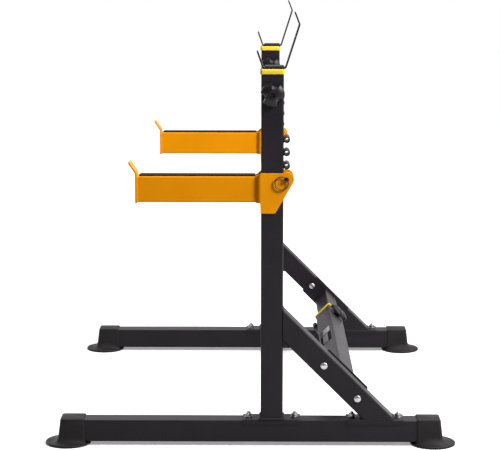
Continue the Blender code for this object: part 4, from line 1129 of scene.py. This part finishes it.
def add_arm(side, y, body):
    """Rectangular tube of the spotter arm, its welds and the rubber along its top."""
    place = (ARM_FRONT_X, y, ARM_TOP - ARM_HEIGHT / 2)
    shell = Shell().add(placed(tube_rows(ARM_SECTION, ARM_LENGTH), place, REARWARD), loop=True)
    add_piece(f"{side}_arm_looks", shell, ORANGE, body, f"{side}_arm_tube")
    welds = Shell()
    for x, radius in ((ARM_REAR_X - 0.0004, ARM_REAR_WELD), (ARM_FRONT_X + 0.0002, ARM_FRONT_WELD)):
        path = ring_path(ARM_SECTION, x - ARM_FRONT_X)
        welds.weld(placed(path, place, REARWARD), REAR, radius)
    add_piece(f"{side}_arm_welds", welds, ORANGE, body, sharp=WELD_SHARP)
    length = ARM_LENGTH - ARM_PAD_FRONT - ARM_PAD_REAR
    pad = pad_rows((length, ARM_PAD_WIDTH, ARM_PAD_THICKNESS), ARM_PAD_CROWN)
    centre = np.array([ARM_FRONT_X + ARM_PAD_FRONT + length / 2, y, ARM_TOP + GAP])
    add_pad(f"{side}_arm_pad", pad + centre, body)


def add_arm_stop(side, y, body):
    """Plate over the arm's front end, its top bent forward into a lip."""
    x = ARM_FRONT_X - GAP - STOP_PLATE / 2
    bend_z = ARM_TOP + STOP_BEND_RISE
    lip = (x - STOP_LIP * math.sin(STOP_LEAN), bend_z + STOP_LIP * math.cos(STOP_LEAN))
    path = [(x, ARM_TOP - ARM_HEIGHT - STOP_DROP), (x, bend_z), lip]
    rows = strip_rows(path, STOP_BEND, STOP_PLATE, STOP_WIDTH, STOP_CORNER)
    rows = rows[..., [0, 2, 1]] + np.array([0, y, 0])
    dress(f"{side}_arm_end_stop", Shell().add(rows), ORANGE, body)


RING_ANGLE = math.radians(218)
RING_Y = -BRACKET_OUTER - GAP - 0.005
RING_RADIUS = 0.0175
RING_START = 0.4
RING_TURNS = 1.97
RING_STEPS = 150
RING_PITCH = 0.00155
RING_OFFSET = 0.00086
RING_WIRE = (0.00160, 0.00078, 0.00074)
RING_HOLE = 0.0028


def add_pin(side, y, body):
    """Dark pin with a chamfered tip, and a head that is cross drilled for the ring."""
    seat = BRACKET_OUTER + GAP
    head = seat + 0.010
    rows = revolved([
        (0.0030, -0.042), (0.0036, -0.0418), (0.0048, -0.0404), (PIN_RADIUS, -0.0398),
        (PIN_RADIUS, seat), (0.0057, seat), (0.006, seat + 0.0003), (0.006, head - 0.0010),
        (0.0057, head - 0.0003), (0.0050, head),
    ])
    shell = Shell().add(placed(rows, (PIN_X, y, PIN_HEIGHT), RIGHTWARD))
    pin = dress(f"{side}_arm_pin", shell, "dark_steel", body)
    hole = revolved([(RING_HOLE, -0.012), (RING_HOLE, 0.012)], 32)
    along = (-math.sin(RING_ANGLE), 0, math.cos(RING_ANGLE))
    carve(pin, Shell().add(placed(hole, (PIN_X, y + RING_Y, PIN_HEIGHT), (LEFT, along))))


def add_ring(side, y, body):
    """Split ring: flat wire wound almost two turns, y growing by one wire for each turn.

    centre + (R + u) * (cos t, sin t), with the wire's own rounded section in u and y. The ends of
    the wire lie level, each against the other turn.
    """
    angle = np.linspace(0, RING_TURNS * 2 * math.pi, RING_STEPS)[:, None] + RING_START
    shift = RING_PITCH * (np.linspace(0, RING_TURNS, RING_STEPS) - RING_TURNS / 2)
    shift = np.clip(shift, -RING_OFFSET, RING_OFFSET)
    section = rounded_rectangle(*RING_WIRE, 4)
    radius = RING_RADIUS + section[:, 0]
    centre = (RING_RADIUS - 0.0005) * np.array([math.cos(RING_ANGLE), math.sin(RING_ANGLE)])
    x = PIN_X + centre[0] + radius * np.cos(angle)
    z = PIN_HEIGHT + centre[1] + radius * np.sin(angle)
    across = y + RING_Y + shift[:, None] + section[:, 1]
    shell = Shell().add(np.dstack([x, across, z]))
    # The ring's finish carries a painted reflection of the orange bracket and painted shade round the wire.
    dress(f"{side}_pin_ring", shell, "ring_steel_with_painted_reflection", body, SMALL_ROUND_SHARP)


def add_side(side, y):
    body = f"{side}_frame"
    add_base_tube(side, y, body)
    for end in ("front", "rear"):
        add_foot(side, end, y, body)
    add_saddle(side, "upright_saddle", UPRIGHT_X, y, body)
    add_saddle(side, "brace_saddle", BRACE_SADDLE_X, y, body)
    add_saddle_bolts(side, y, body)
    add_upright(side, y, body)
    add_brace(side, y, body)
    add_softened(f"{side}_gusset_looks", f"{side}_brace_gusset", body)
    add_upright_collar(side, y, body)
    add_post(side, y, f"{side}_post")
    add_cradle(side, y, f"{side}_post")
    knob_place = (UPRIGHT_X, y - TUBE / 2 - KNOB_BOSS_HEIGHT - GAP, POST_KNOB_HEIGHT)
    add_knob(f"{side}_post_knob", knob_place, RIGHTWARD, f"{side}_post_knob")
    add_arm_bracket(side, y, f"{side}_arm")
    add_arm(side, y, f"{side}_arm")
    add_arm_stop(side, y, f"{side}_arm")
    add_pin(side, y, f"{side}_pin")
    add_ring(side, y, f"{side}_ring")


# Crossbar


def crossbar_place(across=0, along=0, y=0):
    """Point at the given distances from the crossbar's middle line, square to and along the braces."""
    centre = np.array([CROSSBAR_X, y, CROSSBAR_Z])
    return centre + across * np.array(ACROSS_BRACE) + along * np.array(ALONG_BRACE)


# Each half of the crossbar: its body, its section, where it starts, its length and its weld's place
HALVES = {
    "outer": ("right_frame", TUBE_SECTION, OUTER_START, CROSSBAR_OUTER_LENGTH, OUTER_START + 0.0008),
    "inner": (
        "left_frame", SLIDER_SECTION, INNER_END - CROSSBAR_INNER_LENGTH, CROSSBAR_INNER_LENGTH,
        INNER_END - 0.0008,
    ),
}


def add_crossbar():
    """Telescopic crossbar: both tubes with their end plates and welds, and the collar between them."""
    for half, (body, section, start, length, _) in HALVES.items():
        rows = placed(tube_rows(section, length), crossbar_place(y=start), ALONG_CROSSBAR)
        shell = Shell().add(rows, loop=True)
        add_piece(f"crossbar_{half}_looks", shell, BLACK, body, f"crossbar_{half}_tube")
    for half, (body, *_) in HALVES.items():
        add_softened(f"crossbar_{half}_plate_looks", f"crossbar_{half}_plate", body)
    for half, (body, section, _, _, weld_y) in HALVES.items():
        path = placed(ring_path(section, 0), crossbar_place(y=weld_y), ALONG_CROSSBAR)
        weld = Shell().weld(path, LEFT, CROSSBAR_WELD)
        add_piece(f"crossbar_{half}_weld", weld, BLACK, body, sharp=WELD_SHARP)
    collar = placed(collar_rows(), crossbar_place(y=OUTER_END + GAP), ALONG_CROSSBAR)
    dress("crossbar_collar", Shell().add(collar, loop=True), "yellow_plastic", "right_frame")


def add_crossbar_knobs():
    """Two clamping knobs on opposite faces, each over a round boss of the outer tube."""
    bosses = Shell()
    for name, face, back in (("upper", -1, UPPER_KNOB_BACK), ("lower", 1, LOWER_KNOB_BACK)):
        y = OUTER_END - back
        axes = (-face * np.array(ALONG_BRACE), face * np.array(ACROSS_BRACE))
        bosses.add(placed(boss_rows(), crossbar_place(face * TUBE / 2, y=y), axes))
        seat = crossbar_place(face * (TUBE / 2 + KNOB_BOSS_HEIGHT + GAP), y=y)
        add_knob(f"crossbar_{name}_knob", seat, axes, f"crossbar_{name}_knob")
    add_piece("crossbar_knob_bosses", bosses, BLACK, "right_frame")


def add_label():
    """Bare label with round corners on the crossbar's upper front face."""
    inset = np.array([0, 0, 0.0001])
    sides = (LABEL_WIDTH / 2 - inset, LABEL_LENGTH / 2 - inset, LABEL_CORNER - inset)
    rows = stacked(rounded_rectangle(*sides), [0, LABEL_THICKNESS - 0.0001, LABEL_THICKNESS])
    place = crossbar_place(LABEL_ACROSS, -TUBE / 2, LABEL_Y)
    rows = placed(rows, place, (ACROSS_BRACE, -np.array(ALONG_BRACE)))
    add_piece("crossbar_label", Shell().add(rows), "blank_label", "right_frame", sharp=LABEL_SHARP)


def add_mount_bolts(side, y, brace_first):
    """Bolts through a brace and its crossbar plate, their domed heads towards the right."""
    grip = TUBE + GAP + MOUNT_PLATE
    head_y = y - TUBE / 2 - (0 if brace_first else GAP + MOUNT_PLATE)
    for level, along in (("upper", -1), ("lower", 1)):
        place = crossbar_place(along=along * MOUNT_BOLT_SPACING / 2, y=head_y)
        shell = bolt_shell(grip, place, LEFTWARD)
        dress(f"{side}_crossbar_bolt_{level}", shell, "zinc_steel", f"{side}_frame")


# Stage, lights and camera


FLOOR_RADIUS = 9.0
FLOOR_SIDES = 96
FLOOR_DROP = 0.0002
SHADOW_REACH = (0.95, 1.7)
DARK_WALL = ((-8, -6, 0.05), (8, -6, 0.05), (8, -6, 5.4), (-8, -6, 5.4))


def seen_directly(finish):
    """1 for what the camera sees straight, in a reflection or through glass, and 0 for other light."""
    names = ("Is Camera Ray", "Is Glossy Ray", "Is Transmission Ray")
    rays = [finish.node("ShaderNodeLightPath", {}, name) for name in names]
    return finish.clamp(rays[0] + rays[1] + rays[2])


def add_stage_face(name, corners, finish):
    """One flat face of the studio round the rack."""
    mesh = bpy.data.meshes.new(name)
    mesh.from_pydata(corners, [], [range(len(corners))])
    mesh.materials.append(finish.material)
    face = new_object(name, mesh)
    return face


def add_floor():
    """Round pale floor that the camera sees as white, with the shadow kept close to the rack.

    Its own glow grows with the distance from the middle, so it stays white far from the lamps.
    """
    finish = Finish("pale_floor", Roughness=0.9, Specular_IOR_Level=0.05, Emission_Strength=1.0)
    seen = seen_directly(finish)
    away = finish.node("ShaderNodeVectorMath", {0: finish.place()}, "Value", operation="LENGTH")
    glow = seen * (0.30 + 0.70 * finish.band(away, *SHADOW_REACH))
    finish.set("Base Color", finish.blend(seen, (0.20, 0.20, 0.20), (0.80, 0.80, 0.80)))
    finish.set("Emission Color", finish.blend(glow, (0.0, 0.0, 0.0), (1.0, 1.0, 1.0)))
    add_stage_face("floor", revolved([(FLOOR_RADIUS, -FLOOR_DROP)], FLOOR_SIDES)[0], finish)


def add_dark_wall():
    """Dark end of the studio behind the camera, which only shiny surfaces show."""
    finish = Finish("dark_wall", Roughness=1.0, Base_Color=(0.02, 0.02, 0.02), Specular_IOR_Level=0.0)
    wall = add_stage_face("dark_wall", DARK_WALL, finish)
    for kind in ("camera", "diffuse", "shadow", "transmission"):
        setattr(wall, f"visible_{kind}", False)


class Surroundings(Finish):
    """The world's own nodes, with the same methods as a material."""

    def __init__(self):
        world = bpy.data.worlds.new("studio")
        world.use_nodes = True
        bpy.context.scene.world = world
        self.tree = world.node_tree
        self.shader = self.tree.nodes["Background"]


def add_world():
    """White where it is looked at, and a dimmer grey as light on the object."""
    world = Surroundings()
    world.set("Color", (1.0, 1.0, 1.0))
    world.set("Strength", 0.25 + 0.75 * seen_directly(world))


def looking(place, way):
    """Matrix at a place whose -Z looks along a way, with Z of the world up."""
    back = -Vector(way).normalized()
    right = Vector(UP).cross(back).normalized()
    matrix = Matrix((right, back.cross(right), back)).transposed().to_4x4()
    matrix.translation = place
    return matrix


def add_lamp(name, place, target, side, power):
    """Square softbox that is aimed at a target."""
    lamp = bpy.data.lights.new(name, "AREA")
    lamp.shape = "RECTANGLE"
    lamp.size = lamp.size_y = side
    lamp.energy = power
    new_object(name, lamp).matrix_world = looking(place, np.subtract(target, place))


def add_lights():
    """Softbox overhead, a key high behind on the right and a weak fill in front on the left."""
    middle = (0, -0.3, 0.6)
    add_lamp("overhead", (1.3, 0.0, 2.7), (0.3, 0.0, 0.2), 2.4, 96)
    add_lamp("key", (2.74, -2.44, 2.96), middle, 1.3, 235)
    add_lamp("fill", (-2.6, 2.2, 1.9), middle, 2.0, 55)


CAMERA_PLACE = (0.0290, -5.053, 1.3212)
CAMERA_YAW = math.radians(0.392)
CAMERA_PITCH = math.radians(9.073)
CAMERA_ROLL = math.radians(0.057)
FOCAL_PIXELS = 1697.5
PICTURE_PIXELS = 500
SENSOR_WIDTH = 36


def add_camera():
    """Camera of the photograph: a long lens at the right side, a little above the rack."""
    level = math.cos(CAMERA_PITCH)
    way = (-math.sin(CAMERA_YAW) * level, math.cos(CAMERA_YAW) * level, -math.sin(CAMERA_PITCH))
    camera = bpy.data.cameras.new("camera")
    camera.sensor_width = SENSOR_WIDTH
    camera.sensor_fit = "HORIZONTAL"
    camera.lens = FOCAL_PIXELS / PICTURE_PIXELS * SENSOR_WIDTH
    camera.clip_end = 100
    holder = new_object("camera", camera)
    holder.matrix_world = looking(CAMERA_PLACE, way) @ Matrix.Rotation(CAMERA_ROLL, 4, "Z")
    bpy.context.scene.camera = holder


for side_name, side_y in SIDES.items():
    add_side(side_name, side_y)
    add_mount_bolts(side_name, side_y, side_name == "right")
add_crossbar()
add_crossbar_knobs()
add_label()
add_floor()
add_dark_wall()
add_world()
add_lights()
add_camera()
bpy.context.scene.view_settings.view_transform = "Standard"
